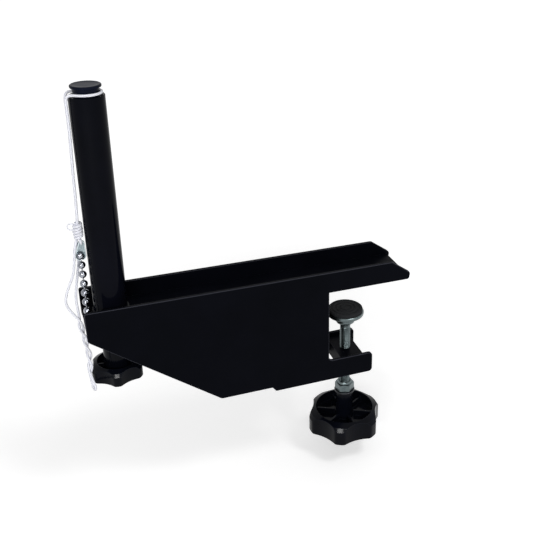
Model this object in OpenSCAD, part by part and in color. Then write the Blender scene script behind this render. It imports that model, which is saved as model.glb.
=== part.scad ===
// Table tennis net clamp: a steel bracket that grips the table's edge with a screw from below,
// a height-adjustable net post on a captive screw, and the net cord's ball-chain tensioner.
// The origin is on the table-contact face, on the clamp screw's axis.
// +X points towards the table's centre, +Y away from the player, and +Z up.

/* [Table] */
// Thickness of the table edge that is gripped at rest
table_t = 26; // [18:1:32]
// Table edge to the clamp screw's axis
screw_inset = 20.5; // [19:0.5:24]
// Underside of the table-contact face down to the clamping arm
throat_drop = 57; // [55:1:62]

/* [Bracket] */
// Width over the two side plates
bracket_w = 40; // [38:1:50]
// Thickness of each side plate
plate_t = 2.5; // [2:0.1:3]
// Height of the side plates above the table
lip_h = 16; // [14:0.5:20]
// Post's axis to the outer end of the plates
outer_margin = 18.5; // [18.5:0.5:22]
// Slant of the tongue's nose along the table
nose_run = 15; // [8:0.5:20]
// Slant of the tongue's nose downwards
nose_drop = 10.6; // [8:0.1:11]
// Clamp screw's axis to the lowest corner of the plates
low_corner_reach = 102.5; // [90:0.5:115]
// Clamp screw's axis to the step in the plates' lower edge
belly_reach = 62; // [50:1:75]
// Clamp screw's axis to the tip of the tongue on the table
tongue_reach = 43.5; // [38:0.5:50]
// Clamp screw's axis to the end of the clamping arm
arm_reach = 14.5; // [12:0.5:18]
// Depth of the clamping arm
arm_h = 16.5; // [15:0.5:20]
// Thickness of the floor between the plates
floor_t = 3; // [2.5:0.1:3.5]
// Thickness of the protective pad under the floor
pad_t = 1.5; // [1.4:0.1:2]
// Thickness of the web that meets the table's edge
web_t = 3; // [2:0.5:4]

/* [Post] */
// Clamp screw's axis to the post's axis
post_offset = 170; // [150:0.5:180]
// Outer diameter of the post, a 7/8 in tube
post_d = 22.2; // [20:0.1:22.4]
// Wall thickness of the post
post_wall = 1.5; // [1.2:0.1:1.8]
// Height of the post's rim above the table
post_h = 153.4; // [146:0.1:160]
// Lowest point of the post below the table's surface
post_drop = 5; // [4:0.5:5.5]
// How far the post can rise from rest
rise = 6; // [3:1:6]
// How far the post can sink from rest
sink = 4; // [1:1:4]

/* [Cap] */
// Diameter of the cap's disc
cap_d = 19; // [17:0.5:20]
// Diameter of the cord groove under the disc
groove_d = 16; // [14:0.5:16]
// Height of the cord groove
groove_h = 4.8; // [4:0.1:5.4]
// Thickness of the disc
cap_t = 1.8; // [1.6:0.1:3]

/* [Screws] */
// Major diameter of both screws, M8
screw_d = 8; // [8:0.1:8.2]
// Width across the flats of the lock nut
nut_af = 13; // [12.5:0.1:13.5]
// Height of the lock nut
nut_h = 8; // [6.5:0.1:8]
// Radial clearance of every running fit
run_gap = 0.05; // [0.02:0.01:0.1]

/* [Clamp knob] */
// Diameter over the lobes of the clamp knob
clamp_knob_d = 58; // [50:1:60]
// Height of the clamp knob's star
clamp_knob_h = 17.4; // [16:0.1:19]
// Underside of the table-contact face down to the clamp knob's rim
clamp_knob_drop = 115.2; // [113.2:0.5:119.2]
// Height of the clamp knob's neck over its rim
neck_h = 15.2; // [13.2:0.5:16.2]
// Diameter of the clamp knob's neck
clamp_neck_d = 13.5; // [13:0.5:15]

/* [Height knob] */
// Diameter over the lobes of the height knob
height_knob_d = 37; // [34:1:37]
// Height of the height knob's star
height_knob_h = 11.8; // [11:0.1:13]
// Underside of the table-contact face down to the height knob's rim
height_knob_drop = 32.7; // [31:0.1:36]
// Diameter of the height knob's hub
height_hub_d = 17; // [15:0.5:18]

/* [Foot] */
// Diameter of the swivel foot's disc
foot_d = 28; // [24:1:30]
// Thickness of the rubber pad on the foot
foot_pad_t = 2.5; // [2:0.5:3]
// Diameter of the ball at the clamp screw's top
ball_d = 8.8; // [8.6:0.1:9]

/* [Cord and chain] */
// Diameter of the net cord
cord_d = 1.7; // [1.4:0.1:1.8]
// Diameter of a chain bead
bead_d = 5.2; // [4.5:0.1:5.2]
// Distance between two bead centres
bead_pitch = 6.8; // [6.6:0.1:7]
// Number of beads on the chain
bead_count = 10; // [10:1:10]

/* [Hidden] */

$fn = 64;
tiny = 0.01;
through = 1;
corner_steps = 6;

// Bracket
inner_w = bracket_w - 2 * plate_t;
floor_z = pad_t;
floor_top = floor_z + floor_t;
outer_reach = post_offset + outer_margin;
tip_margin = 2.5;
floor_end = tongue_reach - tip_margin;
bridge_inset = 3;
web_bottom = -throat_drop - bridge_inset;
web_relief = 1;
arm_bottom = -throat_drop - arm_h;
belly_step = 3.5;
belly_slant = 2.5;
outer_corner_z = -5;
top_corner_r = 1.5;
nose_r = 3;
nose_foot_r = 2;
nose_tuck = 1;
throat_r = 3;
belly_r = 2;
low_corner_r = 4;
outer_corner_r = 4.5;

// Post and its height screw
post_r = post_d / 2;
post_bore_r = post_r - post_wall;
screw_r = screw_d / 2;
bush_wall = 0.95;
bush_r = post_r + run_gap + bush_wall;
bush_bottom = -3;
bush_top = 8;
guide_z = 7;
guide_d = 3;
guide_slot_w = guide_d + 0.1;
stop_gap = 0.3;
guide_slot_low = guide_z - rise - stop_gap - guide_slot_w / 2;
guide_slot_high = guide_z + sink + stop_gap + guide_slot_w / 2;
boss_w = 7;
boss_top = guide_z + 2.5;
guide_tip_gap = 0.3;
guide_head_d = 5.6;
guide_head_h = 2;
guide_socket_d = 2.9;
guide_socket_h = 1.2;
rim_ease = 0.4;
post_nut_z = 14;
post_nut_h = 12;
post_pin_d = 2.5;
pin_inset = 1.5;
bearing_top = -10;
bearing_t = 3;
bearing_inner = 10;
bearing_outer = 7.5;
play = 0.1;
collar_r = 6.5;
collar_h = 2.9;
washer_t = 1.2;
washer_inset = 0.5;
hub_top = bearing_top - bearing_t - play - washer_t;
height_screw_top = 36;
cap_fit = 0.05;
cap_plug_h = 12;
cap_ease = 0.8;

// Clamp screw, its foot and knob
bridge_w = 18;
bridge_top = -throat_drop - bridge_inset;
bridge_bottom = arm_bottom + 2.5;
foot_plate_t = 3;
pad_inset = 2;
foot_boss_d = 15;
foot_boss_h = 7;
foot_top = -table_t - foot_pad_t;
foot_disc_low = foot_top - foot_plate_t;
foot_low = foot_disc_low - foot_boss_h;
ball_gap = 0.1;
ball_drop = 2.5;
ball_z = foot_disc_low - ball_drop;
ball_neck_r = 2.9;
socket_mouth_r = 3.6;
shank_gap = 1.5;
shank_top = foot_low - shank_gap;
neck_top = -clamp_knob_drop + neck_h;
clamp_washer_t = 1.5;
clamp_washer_r = 8;
nut_turn = 39;

// Star knobs: a steep face and a slope up to the rim, each as [width, height], valleys between the lobes,
// pockets with ribs, and pressed-in caps
star_ease = 1;
height_face = [1.4, 2.4];
height_slope = [3.5, 1.8];
height_valley = 2.9;
height_scallop_r = 18;
height_pocket_h = 6;
height_pocket_gap = 0.6;
height_rim_w = 5.3;
height_rib_w = 1.2;
height_rib_drop = 2.4;
height_turn = -97.5;
height_cap_r = 7;
height_cap_t = 1.2;
clamp_face = [1.8, 3.1];
clamp_slope = [4.4, 2.2];
clamp_valley = 4.2;
clamp_scallop_r = 31;
clamp_pocket_h = 8;
clamp_pocket_gap = 0.8;
clamp_rim_w = 6.6;
clamp_rib_w = 1.5;
clamp_rib_drop = 3.6;
clamp_turn = -118;
clamp_cap_r = 13;
clamp_cap_t = 1.4;
clamp_screw_grip = 11.8;
knob_floor_t = 3.5;
cap_gap = 0.1;

// Chain and cord, with the routes' x counted from the post's axis
chain_offset = 15.2;
chain_x = -post_offset - chain_offset;
slot_w = 2.8;
slot_lip_t = 1.2;
pocket_r = 2.75;
slot_seat = sqrt(pow(bead_d / 2, 2) - pow(slot_w / 2 - play, 2));
seated_bead_z = floor_top - slot_lip_t - slot_seat;
beads_below = 2;
wire_r = 0.5;
bead_bore_r = 0.6;
clip_depth = 2;
clip_wall = 0.75;
clip_bead_z = bead_z(bead_count);
clip_notch_w = 1.4;
clip_foot = [0.2 - chain_offset, clip_bead_z];
clip_eye = [-13.6, 57.4];
clip_eye_r = 1.15;
cord_r = cord_d / 2;
cord_sides = 8;
knot_x = -14.8;
knot_low = 60.2;
knot_high = 72;
knot_core_r = 2.6;
knot_wraps = 4;
wrap_r = 2;
wrap_thick_r = 1.3;
loop_offset = 4.2;
loop_z = 69;
loop_r = 2.2;
loop_thick_r = 0.45;
groove_slack = 0.4;
groove_cord_r = groove_d / 2 + cord_r + groove_slack;
groove_cord_rise = 1.55;
groove_cord_z = post_h + groove_cord_rise;
groove_angle = 112;
groove_steps = 8;

// Route of one leg of the tensioned cord, from the knot up to the post's rim
leg_route = [
    [-14.5, -1.4, 72], [-13.8, -1.6, 88], [-13.3, -2.2, 107], [-12.4, -3, post_h - 21.4],
    [-12.4, -3.5, post_h - 7.4], [-12.4, -3.8, post_h - 2.4], [-11.7, -4.2, post_h + 0.2],
    [-10.2, -4.9, post_h + 1.4], [-8.4, -5.6, post_h + 1.5],
];
// The free tail is one long bight that hangs from the knot: its first run down to the laid part ...
tail_down = [
    [-16.4, -0.9, 60.2], [-17.4, -2, 57.5], [-18.8, -2.4, 52], [-19.6, -2.2, 45],
    [-21.4, -2.4, 36.5], [-24.8, -3, 29], [-27.2, -3.5, 23], [-28, -4, 18],
    [-26.6, -4.6, 13.4], [-23.8, -5.7, 9],
];
// ... the middle line of the laid part, as [z, x] and [z, y], where its two runs lie round each other ...
lay_x = [[-33, -19], [-20, -18], [-5, -19.6], [0, -20.7], [5, -21]];
lay_y = [[-33, -14.2], [-20, -12], [-5, -8], [5, -6]];
lay_top = 5;
lay_bottom = -33;
lay_r = 1.15;
lay_steps = 12;
lay_start = -90;
lay_sweep = 734;
// ... its open end ...
tail_end = [-17.8, -14.4, -40.8];
tail_end_r = 3.5;
tail_flare_steps = 3;
tail_end_steps = 6;
// ... and its second run back up to the knot
tail_up = [
    [-21.1, -3.4, 9.5], [-21.4, 0, 17], [-20.4, 1.5, 24.5], [-18.6, 2.6, 33],
    [-16.8, 3.4, 42.5], [-16.6, 3.4, 50], [-16.4, 2.6, 56], [-16.2, 1.2, 60.2],
];
// Route of the loop that ties the knot to the clip's eye
clip_loop_route = [
    [-14.2, -1.6, 60.2], [-14, -2, 58.8], [-13.8, -1.4, 57.6], [-13.6, 0, 57.25],
    [-13.8, 1.4, 57.6], [-14, 2, 58.8], [-14.2, 1.6, 60.2],
];

function unit(v) = v / norm(v);
function bead_z(i) = seated_bead_z + (i - 1 - beads_below) * bead_pitch;
function backwards(route) = [for (i = [len(route) - 1 : -1 : 0]) route[i]];
function mirrored(route) = [for (i = [len(route) - 1 : -1 : 0]) [route[i].x, -route[i].y, route[i].z]];

// A point beside the tail's middle line, out by r at an angle
function beside(middle, r, angle) = middle + r * [cos(angle), sin(angle), 0];

// One run of the laid part of the tail and of the flare below it, on one side of the middle line
function laid_run(side) = concat(
    [for (i = [0 : lay_steps]) let (t = i / lay_steps, z = lay_top + t * (lay_bottom - lay_top))
        beside([lookup(z, lay_x), lookup(z, lay_y), z], side * lay_r, lay_start + t * lay_sweep)],
    [for (i = [1 : tail_flare_steps - 1])
        let (t = i / tail_flare_steps, z = lay_bottom + t * (tail_end.z - lay_bottom),
             from = [lookup(lay_bottom, lay_x), lookup(lay_bottom, lay_y)])
        beside([from.x + t * (tail_end.x - from.x), from.y + t * (tail_end.y - from.y), z],
            side * (lay_r + (tail_end_r - lay_r) * (1 - cos(180 * t)) / 2), lay_start + lay_sweep)]
);

// The turn at the tail's open end
function tail_turn() = [for (i = [0 : tail_end_steps]) let (a = -180 * i / tail_end_steps)
    beside(tail_end, tail_end_r * cos(a), lay_start + lay_sweep) + [0, 0, tail_end_r * sin(a)]];

// The points of an arc of radius r that rounds the corner at b between a and c
function corner_arc(a, b, c, r) =
    let (u = unit(a - b), v = unit(c - b), half = acos(u * v) / 2,
         centre = b + unit(u + v) * r / sin(half),
         from = b + u * r / tan(half) - centre, to = b + v * r / tan(half) - centre,
         sweep = 180 - 2 * half)
    [for (i = [0 : corner_steps]) let (t = i / corner_steps)
        centre + (sin((1 - t) * sweep) * from + sin(t * sweep) * to) / sin(sweep)];

// An outline whose corners are given as [x, z, radius]
function rounded(corners) = [
    for (i = [0 : len(corners) - 1])
        let (n = len(corners), p = corners[(i + n - 1) % n], q = corners[i], s = corners[(i + 1) % n])
        each q[2] == 0 ? [[q.x, q.y]] : corner_arc([p.x, p.y], [q.x, q.y], [s.x, s.y], q[2])
];

// The outline of a teardrop round circles of radii r1 and r2 at c1 and c2
function teardrop(c1, r1, c2, r2) =
    let (d = c2 - c1, axis = atan2(d.y, d.x), side = acos((r1 - r2) / norm(d)), n = 24)
    concat(
        [for (i = [0 : n]) let (a = axis + side + i * (360 - 2 * side) / n) c1 + r1 * [cos(a), sin(a)]],
        [for (i = [0 : n / 2]) let (a = axis - side + i * 4 * side / n) c2 + r2 * [cos(a), sin(a)]]
    );

side_outline = rounded([
    [-outer_reach, lip_h, top_corner_r],
    [tongue_reach - nose_run, lip_h, nose_r],
    [tongue_reach, lip_h - nose_drop, nose_r],
    [tongue_reach - nose_tuck, 0, nose_foot_r],
    [-screw_inset, 0, 0],
    [-screw_inset, -throat_drop, throat_r],
    [arm_reach, -throat_drop, throat_r],
    [arm_reach, arm_bottom, throat_r],
    [-belly_reach, arm_bottom, belly_r],
    [-belly_reach - belly_slant, arm_bottom + belly_step, belly_r],
    [-low_corner_reach, arm_bottom + belly_step, low_corner_r],
    [-outer_reach, outer_corner_z, outer_corner_r],
]);

// A tube along a route, with frames carried from ring to ring without twist
module tube(route, r) {
    n = len(route);
    tangents = [for (i = [0 : n - 1]) unit(route[min(i + 1, n - 1)] - route[max(i - 1, 0)])];
    start = unit(cross(tangents[0], abs(tangents[0].x) > 0.9 ? [0, 1, 0] : [1, 0, 0]));
    normals = [for (i = 0, v = start; i < n;
        i = i + 1, v = i < n ? unit(v - (v * tangents[i]) * tangents[i]) : v) v];
    points = [for (i = [0 : n - 1]) let (side = cross(tangents[i], normals[i]))
        for (k = [0 : cord_sides - 1]) let (a = 360 * k / cord_sides)
            route[i] + r * (cos(a) * normals[i] + sin(a) * side)];
    walls = [for (i = [0 : n - 2], k = [0 : cord_sides - 1])
        let (a = i * cord_sides + k, b = i * cord_sides + (k + 1) % cord_sides)
        each [[a, a + cord_sides, b], [b, a + cord_sides, b + cord_sides]]];
    first = [for (k = [0 : cord_sides - 1]) k];
    last = [for (k = [cord_sides - 1 : -1 : 0]) (n - 1) * cord_sides + k];
    polyhedron(points, concat(walls, [first, last]));
}

// A flat side of the bracket, standing on its inner face's side of y
module side_plate(y) {
    translate([0, y + plate_t, 0]) rotate([90, 0, 0]) linear_extrude(plate_t) polygon(side_outline);
}

// The six-lobed grip of a star knob, with its top at Z 0
module star(d, h, face, slope, valley, scallop_r, turn) {
    r = d / 2;
    difference() {
        rotate_extrude() polygon([
            [0, -h], [r - star_ease, -h], [r, -h + star_ease], [r, -slope.y - face.y],
            [r - face.x, -slope.y], [r - face.x - slope.x, 0], [0, 0],
        ]);
        for (k = [0 : 5])
            rotate([0, 0, turn + 30 + 60 * k])
                translate([r - valley + scallop_r, 0, -h - through])
                    cylinder(r = scallop_r, h = h + 2 * through);
    }
}

// A ring-shaped pocket round a hub, crossed by six ribs that run to the valleys
module ribbed_pocket(inner_r, outer_r, depth, rib_w, rib_drop, turn) {
    difference() {
        translate([0, 0, -depth]) cylinder(r = outer_r, h = depth + through);
        translate([0, 0, -depth - through]) cylinder(r = inner_r, h = depth + 3 * through);
        for (k = [0 : 5])
            rotate([0, 0, turn + 30 + 60 * k])
                translate([inner_r - through, -rib_w / 2, -depth - through])
                    cube([outer_r - inner_r + 2 * through, rib_w, depth + through - rib_drop]);
    }
}

module front_plate() {
    color([0.05, 0.05, 0.06]) side_plate(-bracket_w / 2);
}

module rear_plate() {
    color([0.05, 0.05, 0.06]) difference() {
        side_plate(inner_w / 2);
        translate([-post_offset, inner_w / 2 - through, guide_z])
            rotate([-90, 0, 0]) cylinder(d = guide_d + 2 * run_gap, h = plate_t + 2 * through);
    }
}

module floor_plate() {
    color([0.08, 0.08, 0.09]) difference() {
        translate([-outer_reach, -inner_w / 2, floor_z]) cube([outer_reach + floor_end, inner_w, floor_t]);
        translate([-post_offset, 0, floor_z - through]) cylinder(r = bush_r, h = floor_t + 2 * through);
        chain_cut(slot_w / 2, floor_top - slot_lip_t - through, floor_top + through);
        chain_cut(pocket_r, floor_z - through, floor_top - slot_lip_t);
    }
}

// A slot for the chain, open at the bracket's outer end
module chain_cut(r, low, high) {
    translate([chain_x, 0, low]) cylinder(r = r, h = high - low);
    translate([-outer_reach - through, -r, low]) cube([outer_reach + through + chain_x, 2 * r, high - low]);
}

module table_pad() {
    color([0.12, 0.12, 0.13])
        translate([-screw_inset, -inner_w / 2, 0]) cube([screw_inset + floor_end, inner_w, pad_t]);
}

// The web that stops the table's edge, with its top corner relieved so that the edge seats fully
module throat_web() {
    color([0.05, 0.05, 0.06]) difference() {
        translate([-screw_inset - web_t, -inner_w / 2, web_bottom])
            cube([web_t, inner_w, floor_z - web_bottom]);
        translate([-screw_inset - web_relief, -inner_w / 2 - through, 0])
            cube([web_relief + through, inner_w + 2 * through, floor_z + through]);
    }
}

module arm_bridge() {
    color([0.05, 0.05, 0.06]) difference() {
        translate([-bridge_w / 2, -inner_w / 2, bridge_bottom])
            cube([bridge_w, inner_w, bridge_top - bridge_bottom]);
        translate([0, 0, bridge_bottom - through])
            cylinder(r = screw_r + run_gap, h = bridge_top - bridge_bottom + 2 * through);
    }
}

module bearing_bridge() {
    color([0.05, 0.05, 0.06]) difference() {
        translate([-post_offset - bearing_outer, -inner_w / 2, bearing_top - bearing_t])
            cube([bearing_inner + bearing_outer, inner_w, bearing_t]);
        translate([-post_offset, 0, bearing_top - bearing_t - through])
            cylinder(r = screw_r + run_gap, h = bearing_t + 2 * through);
    }
}

// The nylon sleeve in the floor that the post slides in, with a boss for the guide screw
module guide_bush() {
    color([0.1, 0.1, 0.1]) translate([-post_offset, 0, 0]) difference() {
        union() {
            translate([0, 0, bush_bottom]) cylinder(r = bush_r, h = bush_top - bush_bottom);
            translate([-boss_w / 2, 0, floor_top]) cube([boss_w, inner_w / 2, boss_top - floor_top]);
        }
        translate([0, 0, bush_bottom - through])
            cylinder(r = post_r + run_gap, h = boss_top - bush_bottom + 2 * through);
        translate([0, 0, guide_z]) rotate([-90, 0, 0]) cylinder(d = guide_d + 2 * run_gap, h = bracket_w / 2);
    }
}

// The screw through the rear plate whose tip runs in the post's slot
module guide_screw() {
    color([0.6, 0.62, 0.65]) translate([-post_offset, 0, guide_z]) rotate([-90, 0, 0]) {
        translate([0, 0, post_bore_r + guide_tip_gap])
            cylinder(d = guide_d, h = bracket_w / 2 - post_bore_r - guide_tip_gap);
        difference() {
            translate([0, 0, bracket_w / 2]) cylinder(d = guide_head_d, h = guide_head_h);
            translate([0, 0, bracket_w / 2 + guide_head_h - guide_socket_h])
                cylinder(d = guide_socket_d, h = guide_socket_h + through, $fn = 6);
        }
    }
}

module post_tube() {
    bottom = -post_drop;
    color([0.04, 0.04, 0.05]) translate([-post_offset, 0, 0]) difference() {
        rotate_extrude() polygon([
            [post_bore_r, bottom], [post_r, bottom], [post_r, post_h - rim_ease],
            [post_r - rim_ease, post_h], [post_bore_r, post_h],
        ]);
        translate([0, 0, guide_slot_low + guide_slot_w / 2]) guide_slot_end();
        translate([0, 0, guide_slot_high - guide_slot_w / 2]) guide_slot_end();
        translate([-guide_slot_w / 2, 0, guide_slot_low + guide_slot_w / 2])
            cube([guide_slot_w, post_r + through, guide_slot_high - guide_slot_low - guide_slot_w]);
        translate([0, 0, post_nut_z + post_nut_h / 2]) rotate([0, 90, 0])
            cylinder(d = post_pin_d, h = post_d + 2 * through, center = true);
    }
}

module guide_slot_end() {
    rotate([-90, 0, 0]) cylinder(d = guide_slot_w, h = post_r + through);
}

// The threaded plug that is pinned in the post's lower end
module post_nut() {
    color([0.75, 0.62, 0.3]) translate([-post_offset, 0, post_nut_z]) difference() {
        cylinder(r = post_bore_r, h = post_nut_h);
        translate([0, 0, -through]) cylinder(r = screw_r + run_gap, h = post_nut_h + 2 * through);
        translate([0, 0, post_nut_h / 2]) rotate([0, 90, 0])
            cylinder(d = post_pin_d, h = post_d, center = true);
    }
}

// Two short pins through the post's wall into its nut
module post_nut_pin() {
    inner = screw_r + pin_inset;
    color([0.6, 0.62, 0.65]) for (side = [0, 180])
        translate([-post_offset, 0, post_nut_z + post_nut_h / 2]) rotate([0, 90, side])
            translate([0, 0, inner]) cylinder(d = post_pin_d, h = post_r - inner - play);
}

// The turned plug with a groove that the net's cord passes round
module post_cap() {
    r = cap_d / 2;
    plug_r = post_bore_r - cap_fit;
    top = groove_h + cap_t;
    color([0.05, 0.05, 0.06]) translate([-post_offset, 0, post_h]) rotate_extrude() polygon([
        [0, -cap_plug_h], [plug_r, -cap_plug_h], [plug_r, 0], [groove_d / 2, 0], [groove_d / 2, groove_h],
        [r - cap_ease / 2, groove_h], [r, groove_h + cap_ease / 2], [r, top - cap_ease],
        [r - cap_ease, top], [0, top],
    ]);
}

module height_screw() {
    bottom = -height_knob_drop - height_knob_h + knob_floor_t;
    color([0.6, 0.62, 0.65]) translate([-post_offset, 0, bottom])
        cylinder(r = screw_r, h = height_screw_top - bottom);
}

// The ring above the bearing bridge that keeps the height screw from dropping
module height_collar() {
    color([0.6, 0.62, 0.65]) translate([-post_offset, 0, bearing_top + play])
        ring(collar_r, screw_r, collar_h);
}

module height_washer() {
    color([0.6, 0.62, 0.65]) translate([-post_offset, 0, hub_top])
        ring(height_hub_d / 2 - washer_inset, screw_r, washer_t);
}

module ring(outer_r, inner_r, h) {
    difference() {
        cylinder(r = outer_r, h = h);
        translate([0, 0, -through]) cylinder(r = inner_r, h = h + 2 * through);
    }
}

module height_knob() {
    color([0.05, 0.05, 0.05]) translate([-post_offset, 0, -height_knob_drop]) difference() {
        union() {
            star(height_knob_d, height_knob_h, height_face, height_slope, height_valley, height_scallop_r,
                height_turn);
            translate([0, 0, -through]) cylinder(d = height_hub_d, h = hub_top + height_knob_drop + through);
        }
        ribbed_pocket(height_hub_d / 2 + height_pocket_gap, height_knob_d / 2 - height_rim_w,
            height_pocket_h, height_rib_w, height_rib_drop, height_turn);
        translate([0, 0, -height_knob_h + knob_floor_t])
            cylinder(r = screw_r, h = height_knob_h + hub_top + height_knob_drop);
        translate([0, 0, -height_knob_h - through]) cylinder(r = height_cap_r, h = height_cap_t + through);
    }
}

module height_knob_cap() {
    color([0.07, 0.07, 0.07]) translate([-post_offset, 0, -height_knob_drop - height_knob_h])
        cylinder(r = height_cap_r - cap_gap, h = height_cap_t);
}

// The disc under the table, with the socket for the screw's ball
module swivel_foot() {
    color([0.6, 0.62, 0.65]) difference() {
        rotate_extrude() polygon([
            [0, foot_low], [foot_boss_d / 2, foot_low], [foot_boss_d / 2, foot_disc_low],
            [foot_d / 2, foot_disc_low], [foot_d / 2, foot_top], [0, foot_top],
        ]);
        translate([0, 0, ball_z]) sphere(d = ball_d + 2 * ball_gap);
        translate([0, 0, foot_low - through]) cylinder(r = socket_mouth_r, h = ball_z - foot_low + through);
    }
}

module foot_pad() {
    color([0.1, 0.1, 0.1]) translate([0, 0, foot_top]) cylinder(d = foot_d - pad_inset, h = foot_pad_t);
}

module clamp_screw() {
    bottom = -clamp_knob_drop - clamp_screw_grip;
    color([0.6, 0.62, 0.65]) {
        translate([0, 0, ball_z]) sphere(d = ball_d);
        translate([0, 0, shank_top - tiny]) cylinder(r = ball_neck_r, h = ball_z - shank_top);
        translate([0, 0, bottom]) cylinder(r = screw_r, h = shank_top - bottom);
    }
}

module clamp_nut() {
    color([0.6, 0.62, 0.65]) translate([0, 0, neck_top + clamp_washer_t]) rotate([0, 0, nut_turn])
    difference() {
        cylinder(d = nut_af / cos(30), h = nut_h, $fn = 6);
        translate([0, 0, -through]) cylinder(r = screw_r, h = nut_h + 2 * through, $fn = 64);
    }
}

module clamp_washer() {
    color([0.2, 0.2, 0.22]) translate([0, 0, neck_top]) ring(clamp_washer_r, screw_r, clamp_washer_t);
}

module clamp_knob() {
    color([0.05, 0.05, 0.05]) translate([0, 0, -clamp_knob_drop]) difference() {
        union() {
            star(clamp_knob_d, clamp_knob_h, clamp_face, clamp_slope, clamp_valley, clamp_scallop_r,
                clamp_turn);
            translate([0, 0, -through]) cylinder(d = clamp_neck_d, h = neck_top + clamp_knob_drop + through);
        }
        ribbed_pocket(clamp_neck_d / 2 + clamp_pocket_gap, clamp_knob_d / 2 - clamp_rim_w, clamp_pocket_h,
            clamp_rib_w, clamp_rib_drop, clamp_turn);
        translate([0, 0, -clamp_screw_grip])
            cylinder(r = screw_r, h = clamp_screw_grip + neck_top + clamp_knob_drop + through);
        translate([0, 0, -clamp_knob_h - through]) cylinder(r = clamp_cap_r, h = clamp_cap_t + through);
    }
}

module clamp_knob_cap() {
    color([0.07, 0.07, 0.07]) translate([0, 0, -clamp_knob_drop - clamp_knob_h])
        cylinder(r = clamp_cap_r - cap_gap, h = clamp_cap_t);
}

module chain_bead(i) {
    color([0.8, 0.82, 0.85]) translate([chain_x, 0, bead_z(i)]) difference() {
        sphere(d = bead_d);
        cylinder(r = bead_bore_r, h = bead_d + through, center = true);
    }
}

// The wire that threads the beads
module chain_wire() {
    overhang = bead_d / 2;
    color([0.6, 0.62, 0.65]) translate([chain_x, 0, bead_z(1) - overhang])
        cylinder(r = wire_r, h = bead_z(bead_count) - bead_z(1) + 2 * overhang);
}

// The bent teardrop clip that holds the chain's top bead and the cord's loop
module chain_clip() {
    bead_room_r = bead_d / 2 + 2 * play;
    color([0.7, 0.75, 0.75]) translate([-post_offset, 0, 0]) difference() {
        translate([0, clip_depth / 2, 0]) rotate([90, 0, 0]) linear_extrude(clip_depth) difference() {
            polygon(teardrop(clip_foot, bead_room_r + clip_wall, clip_eye, clip_eye_r + clip_wall));
            polygon(teardrop(clip_foot, bead_room_r, clip_eye, clip_eye_r));
        }
        translate([-chain_offset - clip_notch_w / 2, -clip_depth, clip_bead_z - bead_d])
            cube([clip_notch_w, 2 * clip_depth, bead_d]);
    }
}

// The wrapped knot that joins the doubled cord, its tail and the clip's loop
module cord_knot() {
    pitch = (knot_high - knot_low) / knot_wraps;
    color([0.92, 0.92, 0.9]) translate([knot_x - post_offset, 0, 0]) {
        translate([0, 0, knot_low]) cylinder(r = knot_core_r, h = knot_high - knot_low);
        for (k = [0 : knot_wraps - 1])
            translate([0, 0, knot_low + (k + 0.5) * pitch])
                rotate_extrude() translate([wrap_r, 0]) circle(r = wrap_thick_r, $fn = 24);
    }
}

// The small loose loop beside the knot
module knot_loop() {
    color([0.92, 0.92, 0.9]) translate([knot_x - loop_offset - post_offset, 0, loop_z]) rotate([90, 0, 0])
        rotate_extrude() translate([loop_r, 0]) circle(r = loop_thick_r, $fn = 16);
}

module clip_loop() {
    color([0.92, 0.92, 0.9]) translate([-post_offset, 0, 0]) tube(clip_loop_route, cord_r);
}

// The doubled cord, which runs from the knot up round the cap's groove and back
module tension_cord() {
    bight = [for (i = [0 : groove_steps]) let (a = groove_angle * (2 * i / groove_steps - 1))
        [groove_cord_r * cos(a), groove_cord_r * sin(a), groove_cord_z]];
    color([0.92, 0.92, 0.9]) translate([-post_offset, 0, 0])
        tube(concat(leg_route, bight, mirrored(leg_route)), cord_r);
}

module cord_tail() {
    route = concat(tail_down, laid_run(1), tail_turn(), backwards(laid_run(-1)), tail_up);
    color([0.92, 0.92, 0.9]) translate([-post_offset, 0, 0]) tube(route, cord_r);
}

front_plate();
rear_plate();
floor_plate();
table_pad();
throat_web();
arm_bridge();
bearing_bridge();
guide_bush();
guide_screw();
post_tube();
post_nut();
post_nut_pin();
post_cap();
height_screw();
height_collar();
height_washer();
height_knob();
height_knob_cap();
swivel_foot();
foot_pad();
clamp_screw();
clamp_nut();
clamp_washer();
clamp_knob();
clamp_knob_cap();
for (i = [1 : bead_count])
    chain_bead(i);
chain_wire();
chain_clip();
cord_knot();
knot_loop();
clip_loop();
tension_cord();
cord_tail();
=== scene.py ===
"""Looks for a table tennis net clamp: its pieces, finishes, floor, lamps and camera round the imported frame.

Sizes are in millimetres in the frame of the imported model: the origin is on the table-contact face, on the
clamp screw's axis, +X points towards the table's centre and +Z up. Only the mesh makers turn them to metres.
"""

import logging
import math
from collections.abc import Sequence
from dataclasses import dataclass, field
from enum import Enum
from typing import Any

import bmesh
import bpy
import numpy as np
from mathutils import Matrix, Vector

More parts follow.
